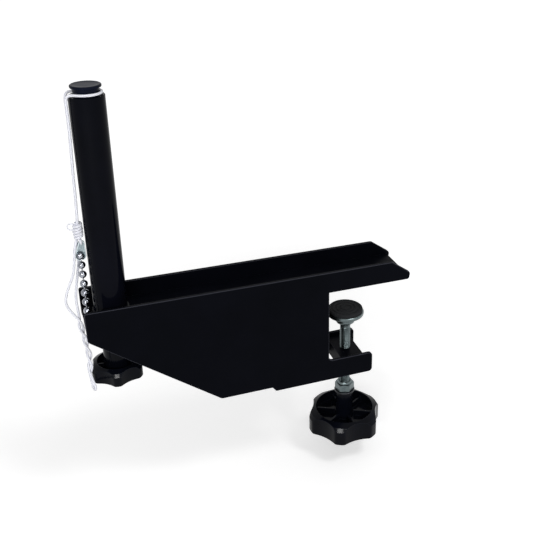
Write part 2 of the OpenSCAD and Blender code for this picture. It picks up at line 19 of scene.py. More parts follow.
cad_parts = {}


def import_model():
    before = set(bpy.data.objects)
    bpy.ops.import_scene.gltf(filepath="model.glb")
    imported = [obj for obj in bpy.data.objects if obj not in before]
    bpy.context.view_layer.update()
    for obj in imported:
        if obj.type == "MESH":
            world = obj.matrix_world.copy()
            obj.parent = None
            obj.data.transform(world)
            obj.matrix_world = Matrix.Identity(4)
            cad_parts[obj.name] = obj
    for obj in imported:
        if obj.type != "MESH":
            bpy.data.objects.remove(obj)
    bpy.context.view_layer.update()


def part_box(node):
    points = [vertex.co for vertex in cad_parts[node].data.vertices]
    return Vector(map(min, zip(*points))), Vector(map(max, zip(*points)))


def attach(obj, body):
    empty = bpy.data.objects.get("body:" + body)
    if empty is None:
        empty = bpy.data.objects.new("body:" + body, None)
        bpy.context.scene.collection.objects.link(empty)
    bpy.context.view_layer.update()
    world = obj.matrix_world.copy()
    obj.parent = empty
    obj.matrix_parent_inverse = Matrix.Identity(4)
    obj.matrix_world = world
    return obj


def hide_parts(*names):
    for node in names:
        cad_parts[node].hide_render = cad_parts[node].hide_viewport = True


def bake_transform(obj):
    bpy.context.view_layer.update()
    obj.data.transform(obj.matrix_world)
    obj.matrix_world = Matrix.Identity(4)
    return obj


MM = 0.001
MERGE_DISTANCE = 0.001
# Faces that meet at less than FLAT_ANGLE are made one, edges that turn by more than EASE_ANGLE are eased, and
# shading breaks at those that turn by more than SHARP_ANGLE.
FLAT_ANGLE = math.radians(0.5)
EASE_ANGLE = math.radians(30)
SHARP_ANGLE = math.radians(40)
SEXTANT = math.pi / 3
WHITE = (1.0, 1.0, 1.0, 1.0)

POST_X = -170.0
CHAIN_X = -185.2
CORD_D = 1.7
SHANK_R = 4.0
BORE_R = 4.02

EDGE_LAYER = "eased_edge"
CORD_MAP = "UVMap"
LOG = logging.getLogger("net_clamp")

Point = tuple[float, float, float]
Profile = Sequence[tuple[float, float]]


class Body(Enum):
    """The moving bodies that a piece can ride on."""

    BRACKET = "bracket"
    POST = "post"
    HEIGHT_DRIVE = "height_drive"
    CLAMP_FOOT = "clamp_foot"
    CLAMP_DRIVE = "clamp_drive"


class Ends(Enum):
    """How the first and last rings of a lofted piece are closed."""

    CAPPED = "capped"
    JOINED = "joined"
    POINTED = "pointed"


# ---------------------------------------------------------------------------------------------------------
# Finishes
# ---------------------------------------------------------------------------------------------------------


def linear(colour: str) -> tuple[float, float, float, float]:
    """Turns an sRGB hex colour to a linear one.

    Args:
        colour: Six hex digits, such as "1a1b1c".

    Returns:
        The linear red, green and blue, and an alpha of 1.
    """
    parts = [int(colour[i : i + 2], 16) / 255 for i in (0, 2, 4)]
    red, green, blue = (c / 12.92 if c <= 0.04045 else ((c + 0.055) / 1.055) ** 2.4 for c in parts)
    return red, green, blue, 1.0


def add_node(
    tree: bpy.types.NodeTree, kind: str, inputs: dict[str | int, Any] | None = None, **settings: Any
) -> bpy.types.Node:
    """Adds a node with its settings and its inputs' values or links.

    Args:
        tree: The node tree that takes it.
        kind: The node's type name.
        inputs: Values, or output sockets to link, by input name or index.
        **settings: The node's own properties.

    Returns:
        The new node.
    """
    node = tree.nodes.new(kind)
    for name, value in settings.items():
        setattr(node, name, value)
    for name, value in (inputs or {}).items():
        if isinstance(value, bpy.types.NodeSocket):
            tree.links.new(value, node.inputs[name])
        else:
            node.inputs[name].default_value = value
    return node


@dataclass(frozen=True)
class Finish:
    """One material with a fine grain, broad patches of a second shade, and a third shade along eased edges.

    Attributes:
        name: What the material is and how its surface was made.
        slot: The record's material slot that it belongs to, and nothing for the floor; it is not used here.
        colour: Its sRGB colour.
        patch_colour: The colour that it drifts to in patches.
        edge_colour: The colour along its eased edges.
        roughness: Its roughness, and the roughness in its patches.
        grain: The grain's spacing and height in mm.
        patch: The spacing of the patches in mm.
        metallic: 1 for bare metal, and 0 for the rest.
        specular: The shader's specular level.
        sheen: Weight of the fibres' sheen.
        drift: The values of the patches' pattern at which the first colour ends and the second starts.
    """

    name: str
    slot: str
    colour: str
    patch_colour: str
    edge_colour: str
    roughness: tuple[float, float]
    grain: tuple[float, float]
    patch: float = 18.0
    metallic: float = 0.0
    specular: float = 0.5
    sheen: float = 0.0
    drift: tuple[float, float] = (0.3, 0.7)

    def height(self, tree: bpy.types.NodeTree, coordinates: bpy.types.NodeSocket) -> bpy.types.NodeSocket:
        """Makes the pattern of the surface's height.

        Args:
            tree: The material's node tree.
            coordinates: The surface point in metres.

        Returns:
            A socket with the height from 0 to 1.
        """
        scale = 1 / (self.grain[0] * MM)
        noise = add_node(tree, "ShaderNodeTexNoise", {"Vector": coordinates, "Scale": scale, "Detail": 2.0})
        return noise.outputs["Fac"]

    def shade(
        self, tree: bpy.types.NodeTree, colour: bpy.types.NodeSocket, height: bpy.types.NodeSocket
    ) -> bpy.types.NodeSocket:
        """Returns the colour as the height changes it, which for a plain grain is not at all."""
        return colour

    def material(self) -> bpy.types.Material:
        """Builds the material once.

        Returns:
            The material of this finish.
        """
        made = bpy.data.materials.get(self.name)
        if made is not None:
            return made
        made = bpy.data.materials.new(self.name)
        made.use_nodes = True
        tree = made.node_tree
        tree.nodes.clear()
        coordinates = add_node(tree, "ShaderNodeTexCoord").outputs["Object"]
        patches = add_node(
            tree,
            "ShaderNodeTexNoise",
            {"Vector": coordinates, "Scale": 1 / (self.patch * MM), "Detail": 4.0, "Roughness": 0.6},
        ).outputs["Fac"]
        low, high = self.drift
        spread = add_node(
            tree, "ShaderNodeMapRange", {"Value": patches, "From Min": low, "From Max": high}
        ).outputs["Result"]
        rough = add_node(
            tree,
            "ShaderNodeMapRange",
            {"Value": spread, "To Min": self.roughness[0], "To Max": self.roughness[1]},
        ).outputs["Result"]
        drifted = add_node(
            tree,
            "ShaderNodeMix",
            {"Factor": spread, "A": linear(self.colour), "B": linear(self.patch_colour)},
            data_type="RGBA",
        )
        edge = add_node(tree, "ShaderNodeAttribute", attribute_name=EDGE_LAYER).outputs["Fac"]
        edged = add_node(
            tree,
            "ShaderNodeMix",
            {"Factor": edge, "A": drifted.outputs["Result"], "B": linear(self.edge_colour)},
            data_type="RGBA",
        )
        height = self.height(tree, coordinates)
        bump = add_node(
            tree, "ShaderNodeBump", {"Height": height, "Distance": self.grain[1] * MM, "Strength": 1.0}
        )
        shader = add_node(
            tree,
            "ShaderNodeBsdfPrincipled",
            {
                "Base Color": self.shade(tree, edged.outputs["Result"], height),
                "Roughness": rough,
                "Normal": bump.outputs["Normal"],
                "Metallic": self.metallic,
                "Specular IOR Level": self.specular,
                "Sheen Weight": self.sheen,
            },
        )
        add_node(tree, "ShaderNodeOutputMaterial", {"Surface": shader.outputs["BSDF"]})
        return made


@dataclass(frozen=True)
class BraidedFinish(Finish):
    """A braid of crossing yarns, drawn from the piece's own map: once round it, and in mm along it.

    Attributes:
        yarns: How many yarns run each way round the cord.
        lay: The length in mm in which a yarn goes once round, so two yarns lie lay / (2 yarns) apart.
        gap_shade_colour: The shade painted in the gaps between the yarns, where the braid's crevices lie in
            shadow.
        gap: The heights at which a gap ends and at which a yarn's own colour starts.
    """

    yarns: int = 4
    lay: float = 5.2
    # Painted shade in the crevices between the yarns.
    gap_shade_colour: str = "bfc2d0"
    gap: tuple[float, float] = (0.02, 0.4)

    def height(self, tree: bpy.types.NodeTree, coordinates: bpy.types.NodeSocket) -> bpy.types.NodeSocket:
        """Makes diamonds where yarns that lean both ways cross.

        Args:
            tree: The material's node tree.
            coordinates: Not used, because the braid follows the cord's own map.

        Returns:
            A socket with the height from 0 to 1.
        """
        uv = add_node(tree, "ShaderNodeUVMap", uv_map=CORD_MAP).outputs["UV"]
        parts = add_node(tree, "ShaderNodeSeparateXYZ", {"Vector": uv})
        across, down = parts.outputs["X"], parts.outputs["Y"]
        waves = []
        for lean in (1, -1):
            twist = lean * math.pi / self.lay
            along = add_node(tree, "ShaderNodeMath", {0: down, 1: twist}, operation="MULTIPLY")
            phase = add_node(
                tree,
                "ShaderNodeMath",
                {0: across, 1: math.pi * self.yarns, 2: along.outputs[0]},
                operation="MULTIPLY_ADD",
            )
            wave = add_node(tree, "ShaderNodeMath", {0: phase.outputs[0]}, operation="SINE")
            yarn = add_node(tree, "ShaderNodeMath", {0: wave.outputs[0]}, operation="ABSOLUTE")
            waves.append(yarn.outputs[0])
        return add_node(tree, "ShaderNodeMath", {0: waves[0], 1: waves[1]}, operation="MULTIPLY").outputs[0]

    def shade(
        self, tree: bpy.types.NodeTree, colour: bpy.types.NodeSocket, height: bpy.types.NodeSocket
    ) -> bpy.types.NodeSocket:
        """Paints shade into the gaps between the yarns.

        Args:
            tree: The material's node tree.
            colour: The yarns' colour.
            height: The braid's height.

        Returns:
            A socket with the yarns' colour and the shade painted in the gaps.
        """
        low, high = self.gap
        on_yarn = add_node(tree, "ShaderNodeMapRange", {"Value": height, "From Min": low, "From Max": high})
        # The gaps take the painted shade colour, darker than the white yarns.
        mixed = add_node(
            tree,
            "ShaderNodeMix",
            {"Factor": on_yarn.outputs["Result"], "A": linear(self.gap_shade_colour), "B": colour},
            data_type="RGBA",
        )
        return mixed.outputs["Result"]


@dataclass(frozen=True)
class TurnedFinish(Finish):
    """Metal or plastic with fine rings from turning, square to its upright axis.

    Attributes:
        wave: The distance from ring to ring in metres that the wave pattern has at a scale of 1.
    """

    wave: float = 0.314

    def height(self, tree: bpy.types.NodeTree, coordinates: bpy.types.NodeSocket) -> bpy.types.NodeSocket:
        """Makes fine rings that are not quite even.

        Args:
            tree: The material's node tree.
            coordinates: The surface point in metres.

        Returns:
            A socket with the height from 0 to 1.
        """
        scale = self.wave / (self.grain[0] * MM)
        rings = add_node(
            tree,
            "ShaderNodeTexWave",
            {"Vector": coordinates, "Scale": scale, "Distortion": 1.5, "Detail": 2.0},
            wave_type="BANDS",
            bands_direction="Z",
        )
        return rings.outputs["Fac"]


# Polyester powder coat, sprayed and baked: deep black, half gloss, with a faint orange-peel ripple. The
# ripple is really 0.4 mm, and is drawn at 1.6 mm so that it shows.
POWDER_COAT = Finish(
    "powder_coated_steel", "powder_coat", "040509", "07080e", "303138",
    roughness=(0.32, 0.46), grain=(1.6, 0.01), patch=45.0, specular=0.02,
)  # fmt: skip
# Stoved enamel on drawn tube: black and glossier than the bracket, with long soft reflections.
POST_ENAMEL = Finish(
    "stoved_enamel_tube", "post_enamel", "05060b", "090a12", "101118",
    roughness=(0.06, 0.11), grain=(3.0, 0.005), patch=30.0, specular=0.028,
)  # fmt: skip
# Moulded ABS from a polished mould: black and smooth, with clear highlights along its slanting faces.
KNOB_ABS = Finish(
    "moulded_abs", "black_plastic", "050609", "080a12", "171a22",
    roughness=(0.1, 0.15), grain=(0.5, 0.003), patch=14.0, specular=0.06,
)  # fmt: skip
# Turned nylon: black, with fine rings that stretch the highlights sideways.
CAP_NYLON = TurnedFinish(
    "turned_nylon", "black_plastic", "0a0e1a", "0f1322", "20253a",
    roughness=(0.26, 0.36), grain=(0.5, 0.01), patch=9.0, specular=0.034,
)  # fmt: skip
# Moulded nylon: duller and a little greyer than the enamel beside it.
BUSH_NYLON = Finish(
    "moulded_nylon", "nylon", "0e0f11", "141518", "1e1f23",
    roughness=(0.45, 0.55), grain=(0.6, 0.01), patch=8.0, specular=0.14,
)  # fmt: skip
# Moulded rubber: dull charcoal with a pebbled skin.
PAD_RUBBER = Finish(
    "moulded_rubber", "pad_rubber", "17181a", "1f2023", "2a2b2e",
    roughness=(0.75, 0.9), grain=(0.7, 0.05), patch=9.0, specular=0.2,
)  # fmt: skip
# Bright zinc plate on turned steel: cool, faintly green, with fine rings that draw out the highlights.
ZINC_PLATE = TurnedFinish(
    "zinc_plated_steel", "zinc_plate", "586264", "6c7677", "939d9e",
    roughness=(0.24, 0.36), grain=(0.35, 0.006), patch=6.0, metallic=1.0,
)  # fmt: skip
# Black oxide on steel: oily near-black metal.
BLACK_OXIDE = TurnedFinish(
    "black_oxide_steel", "dark_steel", "2a2b2e", "38393c", "4b4c50",
    roughness=(0.3, 0.42), grain=(0.4, 0.008), patch=5.0, metallic=1.0,
)  # fmt: skip
# Turned brass, warm and bright where the tool passed.
TURNED_BRASS = TurnedFinish(
    "turned_brass", "brass", "b08d4c", "c4a25e", "d8ba78",
    roughness=(0.2, 0.32), grain=(0.3, 0.008), patch=6.0, metallic=1.0,
)  # fmt: skip
# Polished nickel plate on pressed steel beads: mirror-like, with a few dull patches.
BEAD_NICKEL = Finish(
    "polished_nickel_plate", "bead_nickel", "a3a6ad", "84878f", "b3b6bd",
    roughness=(0.08, 0.16), grain=(0.9, 0.002), patch=2.4, metallic=1.0,
)  # fmt: skip
# Drawn steel wire: plain grey, half bright, with a fine uneven grain.
DRAWN_WIRE = Finish(
    "drawn_steel_wire", "steel_wire", "8f9297", "a6a9ae", "b5b8bd",
    roughness=(0.22, 0.34), grain=(0.4, 0.006), patch=2.0, metallic=1.0,
)  # fmt: skip
# Nickel plate on bent strip: a cool, slightly green mirror.
CLIP_PLATE = Finish(
    "plated_strip", "clip_steel", "cfd9dc", "b4c0c4", "e4ebec",
    roughness=(0.1, 0.2), grain=(0.9, 0.006), patch=2.6, metallic=1.0,
)  # fmt: skip
# The same plate on the sheet inside the clip, a little darker as painted shade in the clip's hollow, and
# softer.
CLIP_PAINTED_SHADE = Finish(
    "strip_with_painted_shade", "clip_steel", "9aa7ab", "7c888c", "b4c0c4",
    roughness=(0.3, 0.45), grain=(0.6, 0.008), patch=1.8, metallic=1.0,
)  # fmt: skip
# Braided nylon cord: white yarns that catch light along their sides, with grey shade painted in the gaps
# between them. The real yarns are 0.4 mm wide, and are drawn at 0.65 mm so that the braid shows.
BRAIDED_NYLON = BraidedFinish(
    "braided_nylon_cord", "cord", "f4f4f9", "ecedf4", "f4f4f9",
    roughness=(0.6, 0.75), grain=(0.65, 0.13), patch=7.0, sheen=0.3,
)  # fmt: skip
# Matt white board under the clamp: plain, with hardly a grain and no gloss.
FLOOR_BOARD = Finish(
    "matt_white_board", "", "fbfbfb", "f9f9f9", "fbfbfb",
    roughness=(0.85, 0.95), grain=(2.0, 0.01), patch=90.0, specular=0.1,
)  # fmt: skip


# ---------------------------------------------------------------------------------------------------------
# Mesh makers
# ---------------------------------------------------------------------------------------------------------


def ease_edges(mesh: bmesh.types.BMesh, width: float) -> None:
    """Rounds the sharp edges and marks the new faces for the finish.

    Args:
        mesh: The mesh, changed in place.
        width: How far the rounding reaches from each edge, in mm.
    """
    layer = mesh.faces.layers.float.new(EDGE_LAYER)
    sharp = [e for e in mesh.edges if e.is_manifold and e.calc_face_angle(0.0) > EASE_ANGLE]
    if width > 0 and sharp:
        made = bmesh.ops.bevel(
            mesh,
            geom=sharp,
            offset=width * MM,
            offset_type="OFFSET",
            segments=2,
            profile=0.5,
            affect="EDGES",
            clamp_overlap=True,
        )
        for face in made["faces"]:
            face[layer] = 1.0


def show(name: str, mesh: bmesh.types.BMesh) -> bpy.types.Object:
    """Makes an object of a mesh, smooth but for its sharp edges, and with its flat faces kept flat.

    Args:
        name: The piece's name.
        mesh: The mesh in metres, freed here.

    Returns:
        The new object.
    """
    data = bpy.data.meshes.new(name)
    mesh.to_mesh(data)
    mesh.free()
    data.shade_smooth()
    data.set_sharp_from_angle(angle=SHARP_ANGLE)
    obj = bpy.data.objects.new(name, data)
    bpy.context.scene.collection.objects.link(obj)
    weighted = obj.modifiers.new("flat_faces_stay_flat", "WEIGHTED_NORMAL")
    weighted.keep_sharp = True
    return obj


def copied(name: str, node: str, ease: float) -> bpy.types.Object:
    """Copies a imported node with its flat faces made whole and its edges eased.

    Args:
        name: The piece's name.
        node: The node whose shape it takes.
        ease: The reach of the eased edges in mm.

    Returns:
        The new object.
    """
    mesh = bmesh.new()
    mesh.from_mesh(bpy.data.objects[node].data)
    bmesh.ops.remove_doubles(mesh, verts=mesh.verts, dist=MERGE_DISTANCE * MM)
    bmesh.ops.dissolve_limit(mesh, angle_limit=FLAT_ANGLE, verts=mesh.verts, edges=mesh.edges)
    ease_edges(mesh, ease)
    return show(name, mesh)


def loft(
    name: str,
    rings: Sequence[np.ndarray],
    ends: Ends,
    ease: float = 0.0,
    along: Sequence[float] | None = None,
) -> bpy.types.Object:
    """Skins a row of rings that all have as many points.

    Args:
        name: The piece's name.
        rings: Arrays of points in mm.
        ends: How the first and last rings are closed.
        ease: The reach of the eased edges in mm.
        along: The distance of each ring along the piece in mm, for a map round and along it.

    Returns:
        The new object.
    """
    mesh = bmesh.new()
    points = [[mesh.verts.new(p) for p in ring] for ring in np.asarray(rings, float) * MM]
    layer = mesh.loops.layers.uv.new(CORD_MAP) if along is not None else None
    columns = len(points[0])
    for i in range(len(points) if ends is Ends.JOINED else len(points) - 1):
        for k in range(columns):
            corners = ((i, k), (i, k + 1), (i + 1, k + 1), (i + 1, k))
            face = mesh.faces.new([points[a % len(points)][b % columns] for a, b in corners])
            if layer is not None:
                for loop, (a, b) in zip(face.loops, corners):
                    loop[layer].uv = (b / columns, along[a])
    if ends is Ends.CAPPED:
        mesh.faces.new(points[0][::-1])
        mesh.faces.new(points[-1])
    if ends is Ends.POINTED:
        bmesh.ops.remove_doubles(mesh, verts=mesh.verts, dist=MERGE_DISTANCE * MM)
    bmesh.ops.recalc_face_normals(mesh, faces=mesh.faces)
    ease_edges(mesh, ease)
    return show(name, mesh)


def ring_at(
    angles: np.ndarray, radius: float | np.ndarray, z: float | np.ndarray, x: float = 0.0
) -> np.ndarray:
    """Returns the points at these angles, radii and heights round an upright axis at x."""
    return np.stack([x + radius * np.cos(angles), radius * np.sin(angles), z + 0 * angles], axis=1)


def turned(name: str, profile: Profile, x: float, ends: Ends, sides: int = 96) -> bpy.types.Object:
    """Turns a profile round an upright axis.

    Args:
        name: The piece's name.
        profile: Radius and height pairs in mm.
        x: The axis' place along X in mm.
        ends: How the profile's ends are closed.
        sides: The number of faces round it.

    Returns:
        The new object.
    """
    angles = np.linspace(0, 2 * math.pi, sides, endpoint=False)
    return loft(name, [ring_at(angles, r, z, x) for r, z in profile], ends)


def smooth_route(route: Sequence[Point], steps: int = 6) -> np.ndarray:
    """Runs a smooth curve through a route's points: a Catmull-Rom curve, which doesn't swing out at corners.

    Args:
        route: The points in mm.
        steps: The pieces that each stretch is cut into.

    Returns:
        The curve's points in mm.
    """
    p = np.asarray(route, float)
    p = np.vstack([2 * p[0] - p[1], p, 2 * p[-1] - p[-2]])
    knots = np.concatenate([[0], np.cumsum(np.sqrt(np.linalg.norm(np.diff(p, axis=0), axis=1)))])
    points = []
    for i in range(1, len(p) - 2):
        t0, t1, t2, t3 = knots[i - 1 : i + 3]
        for t in np.linspace(t1, t2, steps, endpoint=False):
            a1 = ((t1 - t) * p[i - 1] + (t - t0) * p[i]) / (t1 - t0)
            a2 = ((t2 - t) * p[i] + (t - t1) * p[i + 1]) / (t2 - t1)
            a3 = ((t3 - t) * p[i + 1] + (t - t2) * p[i + 2]) / (t3 - t2)
            b1 = ((t2 - t) * a1 + (t - t0) * a2) / (t2 - t0)
            b2 = ((t3 - t) * a2 + (t - t1) * a3) / (t3 - t1)
            points.append(((t2 - t) * b1 + (t - t1) * b2) / (t2 - t1))
    points.append(p[-2])
    return np.array(points)


def cord_tube(name: str, path: np.ndarray, diameter: float, sides: int = 14) -> bpy.types.Object:
    """Sweeps a round cord along a path, with a map round and along it.

    Args:
        name: The piece's name.
        path: The centreline in mm.
        diameter: The cord's diameter in mm.
        sides: The number of faces round it.

    Returns:
        The new object.
    """
    tangents = np.gradient(path, axis=0)
    tangents /= np.linalg.norm(tangents, axis=1)[:, None]
    normal = np.cross(tangents[0], (0.0, 1.0, 0.0) if abs(tangents[0][1]) < 0.9 else (1.0, 0.0, 0.0))
    angles = np.linspace(0, 2 * math.pi, sides, endpoint=False)
    rings = []
    for point, tangent in zip(path, tangents):
        normal = normal - (normal @ tangent) * tangent
        normal /= np.linalg.norm(normal)
        side = np.cross(tangent, normal)
        spokes = np.outer(np.cos(angles), normal) + np.outer(np.sin(angles), side)
        rings.append(point + diameter / 2 * spokes)
    along = np.concatenate([[0], np.cumsum(np.linalg.norm(np.diff(path, axis=0), axis=1))])
    return loft(name, rings, Ends.CAPPED, along=list(along))


def joined(name: str, parts: Sequence[bpy.types.Object]) -> bpy.types.Object:
    """Joins parts into one piece.

    Args:
        name: The joined piece's name.
        parts: The parts, of which the first stays.

    Returns:
        The joined piece.
    """
    with bpy.context.temp_override(
        active_object=parts[0], selected_objects=list(parts), selected_editable_objects=list(parts)
    ):
        bpy.ops.object.join()
    parts[0].name = name
    return parts[0]


def dress(obj: bpy.types.Object, finish: Finish, body: Body | None, *nodes: str) -> bpy.types.Object:
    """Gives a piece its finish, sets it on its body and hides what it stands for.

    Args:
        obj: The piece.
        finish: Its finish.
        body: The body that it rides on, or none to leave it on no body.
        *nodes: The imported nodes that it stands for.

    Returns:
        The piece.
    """
    obj.data.materials.clear()
    obj.data.materials.append(finish.material())
    if body is not None:
        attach(obj, body.value)
    if nodes:
        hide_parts(*nodes)
    LOG.info("%s: %s, %s", obj.name, finish.name, body.value if body else "bends between two bodies")
    return obj


# ---------------------------------------------------------------------------------------------------------
# Camera and cords
# ---------------------------------------------------------------------------------------------------------


def heading(azimuth: float, elevation: float) -> Vector:
    """Returns the direction from the clamp to what stands at this azimuth and elevation in degrees."""
    a, e = math.radians(azimuth), math.radians(elevation)
    return Vector((math.sin(a) * math.cos(e), -math.cos(a) * math.cos(e), math.sin(e)))


@dataclass
class Viewpoint:
    """The camera: where it stands in mm, where it looks in degrees, and its lens.

    Attributes:
        place: Its position in mm.
        azimuth: The heading from which it looks.
        elevation: How far above the horizon it stands.
        roll: Its turn about its own axis.
        lens: The focal length in mm.
        sensor: The sensor's width in mm.
        shift: The lens shift, as shares of the picture's width.
        clip: The nearest and farthest that it sees, in metres.
    """

    place: Point = (-207.118, -508.279, 281.402)
    azimuth: float = -21.328
    elevation: float = 23.277
    roll: float = 0.352
    lens: float = 53.19
    sensor: float = 36.0
    shift: tuple[float, float] = (-0.0986, -0.1062)
    clip: tuple[float, float] = (0.01, 20.0)

    def build(self) -> None:
        """Creates the camera and makes it the scene's."""
        data = bpy.data.cameras.new("camera")
        data.lens = self.lens
        data.sensor_width = self.sensor
        data.shift_x, data.shift_y = self.shift
        data.clip_start, data.clip_end = self.clip
        camera = bpy.data.objects.new("camera", data)
        bpy.context.scene.collection.objects.link(camera)
        roll = math.radians(self.roll)
        back = heading(self.azimuth, self.elevation)
        right = (-back).cross(Vector((0, 0, 1))).normalized()
        up = back.cross(right)
        across = math.cos(roll) * right + math.sin(roll) * up
        upright = math.cos(roll) * up - math.sin(roll) * right
        turn = Matrix((across, upright, back)).transposed().to_4x4()
        camera.matrix_world = Matrix.Translation(Vector(self.place) * MM) @ turn
        bpy.context.scene.camera = camera


@dataclass
class NetCord:
    """The doubled net cord, its wrapped knot with a loose loop, the loop to the clip, and the long free tail.

    The routes are in mm with x counted from the post's axis.

    Attributes:
        leg: One leg of the doubled cord, from the knot up to the cap's neck.
        tail_down: The tail's first run, down to where its two runs lie round each other.
        tail_up: Its second run, back up to the knot.
        lay_x: Height and x pairs of the middle line that the two runs lie round.
        lay_y: Height and y pairs of that line.
        lay_top: The height at which the laid part starts.
        lay_bottom: The height at which it ends.
        lay_r: How far each run lies from the middle line.
        lay_steps: The stretches that each laid run has.
        lay_start: The angle of the first run at the top of the laid part.
        lay_sweep: The angle that the runs turn through.
        tail_end: The middle of the open turn at the tail's end.
        tail_end_r: The radius of that turn.
        tail_flare_steps: The stretches in which a run opens out to that turn.
        tail_end_steps: The stretches of the turn.
        eye_loop: The short loop from the knot through the clip's eye.
        neck_r: The radius at which the bight lies round the cap's neck.
        neck_z: The bight's height.
        neck_angle: How far the bight reaches round the neck on each side, in degrees.
        neck_points: The points of the route round the neck.
        knot_x: The knot's place.
        knot_low: The knot's lower end.
        knot_high: The knot's upper end.
        strands: The places of the strands in the knot, from its middle.
        strand_points: The points of a strand's path.
        wrap_r: The radius of the wraps' middle.
        wraps: How many times the cord is wound round.
        wrap_points: The points of its path to a turn.
        wrap_start: The angle in radians at which the wrap starts.
        wobble: Depth in mm, waves to a radian and phase of the hand's two unevennesses.
        wrap_lean: How far the wraps lean up and down.
        tuck: How far the wrap's ends go in, and the share of its length in which they do.
        yarn_loop: The route of the loose loop of yarn.
        yarn_d: The yarn's diameter.
        blend_low: Not used: the height under which the doubled cord was to stay with the bracket.
        blend_high: Not used: the height over which it was to go with the post.
    """

    leg: tuple[Point, ...] = (
        (-14.5, -1.4, 72), (-13.8, -1.6, 88), (-13.3, -2.2, 107), (-12.4, -3, 132), (-12.4, -3.5, 146),
        (-12.4, -3.8, 151), (-11.7, -4.2, 153.6), (-10.2, -4.9, 154.8), (-8.4, -5.6, 154.9),
    )  # fmt: skip
    tail_down: tuple[Point, ...] = (
        (-16.4, -0.9, 60.2), (-17.4, -2, 57.5), (-18.8, -2.4, 52), (-19.6, -2.2, 45), (-21.4, -2.4, 36.5),
        (-24.8, -3, 29), (-27.2, -3.5, 23), (-28, -4, 18), (-26.6, -4.6, 13.4), (-23.8, -5.7, 9),
    )  # fmt: skip
    tail_up: tuple[Point, ...] = (
        (-21.1, -3.4, 9.5), (-21.4, 0, 17), (-20.4, 1.5, 24.5), (-18.6, 2.6, 33), (-16.8, 3.4, 42.5),
        (-16.6, 3.4, 50), (-16.4, 2.6, 56), (-16.2, 1.2, 60.2),
    )  # fmt: skip
    lay_x: Profile = ((-33, -19), (-20, -18), (-5, -19.6), (0, -20.7), (5, -21))
    lay_y: Profile = ((-33, -14.2), (-20, -12), (-5, -8), (5, -6))
    lay_top: float = 5.0
    lay_bottom: float = -33.0
    lay_r: float = 1.15
    lay_steps: int = 12
    lay_start: float = -90.0
    lay_sweep: float = 734.0
    tail_end: Point = (-17.8, -14.4, -40.8)
    tail_end_r: float = 3.5
    tail_flare_steps: int = 3
    tail_end_steps: int = 6
    eye_loop: tuple[Point, ...] = (
        (-14.2, -1.6, 60.2), (-14, -2, 58.8), (-13.8, -1.4, 57.6), (-13.6, 0, 57.25),
        (-13.8, 1.4, 57.6), (-14, 2, 58.8), (-14.2, 1.6, 60.2),
    )  # fmt: skip
    neck_r: float = 9.25
    neck_z: float = 154.95
    neck_angle: float = 112.0
    neck_points: int = 9
    knot_x: float = -14.8
    knot_low: float = 60.2
    knot_high: float = 72.0
    strands: Profile = ((0.3, -1.0), (0.3, 1.0), (-0.9, 0.0))
    strand_points: int = 6
    wrap_r: float = 2.4
    wraps: float = 5.25
    wrap_points: int = 20
    wrap_start: float = 0.6
    wobble: tuple[Point, ...] = ((0.14, 1.7, 0.0), (0.08, 3.3, 1.0))
    wrap_lean: float = 0.35
    tuck: tuple[float, float] = (1.1, 0.04)
    yarn_loop: tuple[Point, ...] = (
        (-16.6, -0.5, 67.4), (-18.2, -0.4, 67.1), (-19.8, 0, 67.4), (-21, 0.2, 69.1), (-20.2, 0.4, 70.8),
        (-18.6, 0.5, 71.1), (-16.6, 0.6, 70.5),
    )  # fmt: skip
    yarn_d: float = 0.9
    blend_low: float = 76.0
    blend_high: float = 146.0

    def beside(self, middle: Point, radius: float, degrees: float) -> Point:
        """Returns the point that lies beside a middle point, out by a radius at an angle."""
        a = math.radians(degrees)
        return middle[0] + radius * math.cos(a), middle[1] + radius * math.sin(a), middle[2]

    def lay_middle(self, z: float) -> Point:
        """Returns the point at this height on the middle line that the two runs lie round."""
        return float(np.interp(z, *zip(*self.lay_x))), float(np.interp(z, *zip(*self.lay_y))), z

    def laid_run(self, side: int) -> list[Point]:
        """Lays one run of the tail round the middle line, down to where it flares into the open turn.

        Args:
            side: Which of the two runs, 1 or -1.

        Returns:
            The run's points.
        """
        points = []
        for t in np.linspace(0, 1, self.lay_steps + 1):
            middle = self.lay_middle(self.lay_top + t * (self.lay_bottom - self.lay_top))
            points.append(self.beside(middle, side * self.lay_r, self.lay_start + t * self.lay_sweep))
        start = np.array(self.lay_middle(self.lay_bottom))
        for t in np.linspace(0, 1, self.tail_flare_steps + 1)[1:-1]:
            middle = start + t * (np.array(self.tail_end) - start)
            radius = self.lay_r + (self.tail_end_r - self.lay_r) * (1 - math.cos(math.pi * t)) / 2
            points.append(self.beside(tuple(middle), side * radius, self.lay_start + self.lay_sweep))
        return points

    def tail(self) -> list[Point]:
        """Routes the whole tail, down one run, round the open turn and up the other.

        Returns:
            The tail's points.
        """
        turn = []
        angle, radius = self.lay_start + self.lay_sweep, self.tail_end_r
        for a in np.linspace(0, -math.pi, self.tail_end_steps + 1):
            x, y, z = self.beside(self.tail_end, radius * math.cos(a), angle)
            turn.append((x, y, z + radius * math.sin(a)))
        return [*self.tail_down, *self.laid_run(1), *turn, *reversed(self.laid_run(-1)), *self.tail_up]

    def from_axis(self, route: Sequence[Point]) -> list[Point]:
        """Returns a route moved from the post's axis to the frame."""
        return [(x + POST_X, y, z) for x, y, z in route]

    def build(self) -> None:
        """Makes the knot and its loops, then the two free cords."""
        knot = dress(self.knot(), BRAIDED_NYLON, Body.BRACKET, "cord_knot")
        loose = dress(self.loose_loop(), BRAIDED_NYLON, Body.BRACKET, "knot_loop")
        eye_path = smooth_route(self.from_axis(self.eye_loop))
        eye = dress(cord_tube("clip_loop_cord", eye_path, CORD_D), BRAIDED_NYLON, Body.BRACKET, "clip_loop")
        self.stretched(knot, loose, eye)
        self.hanging()

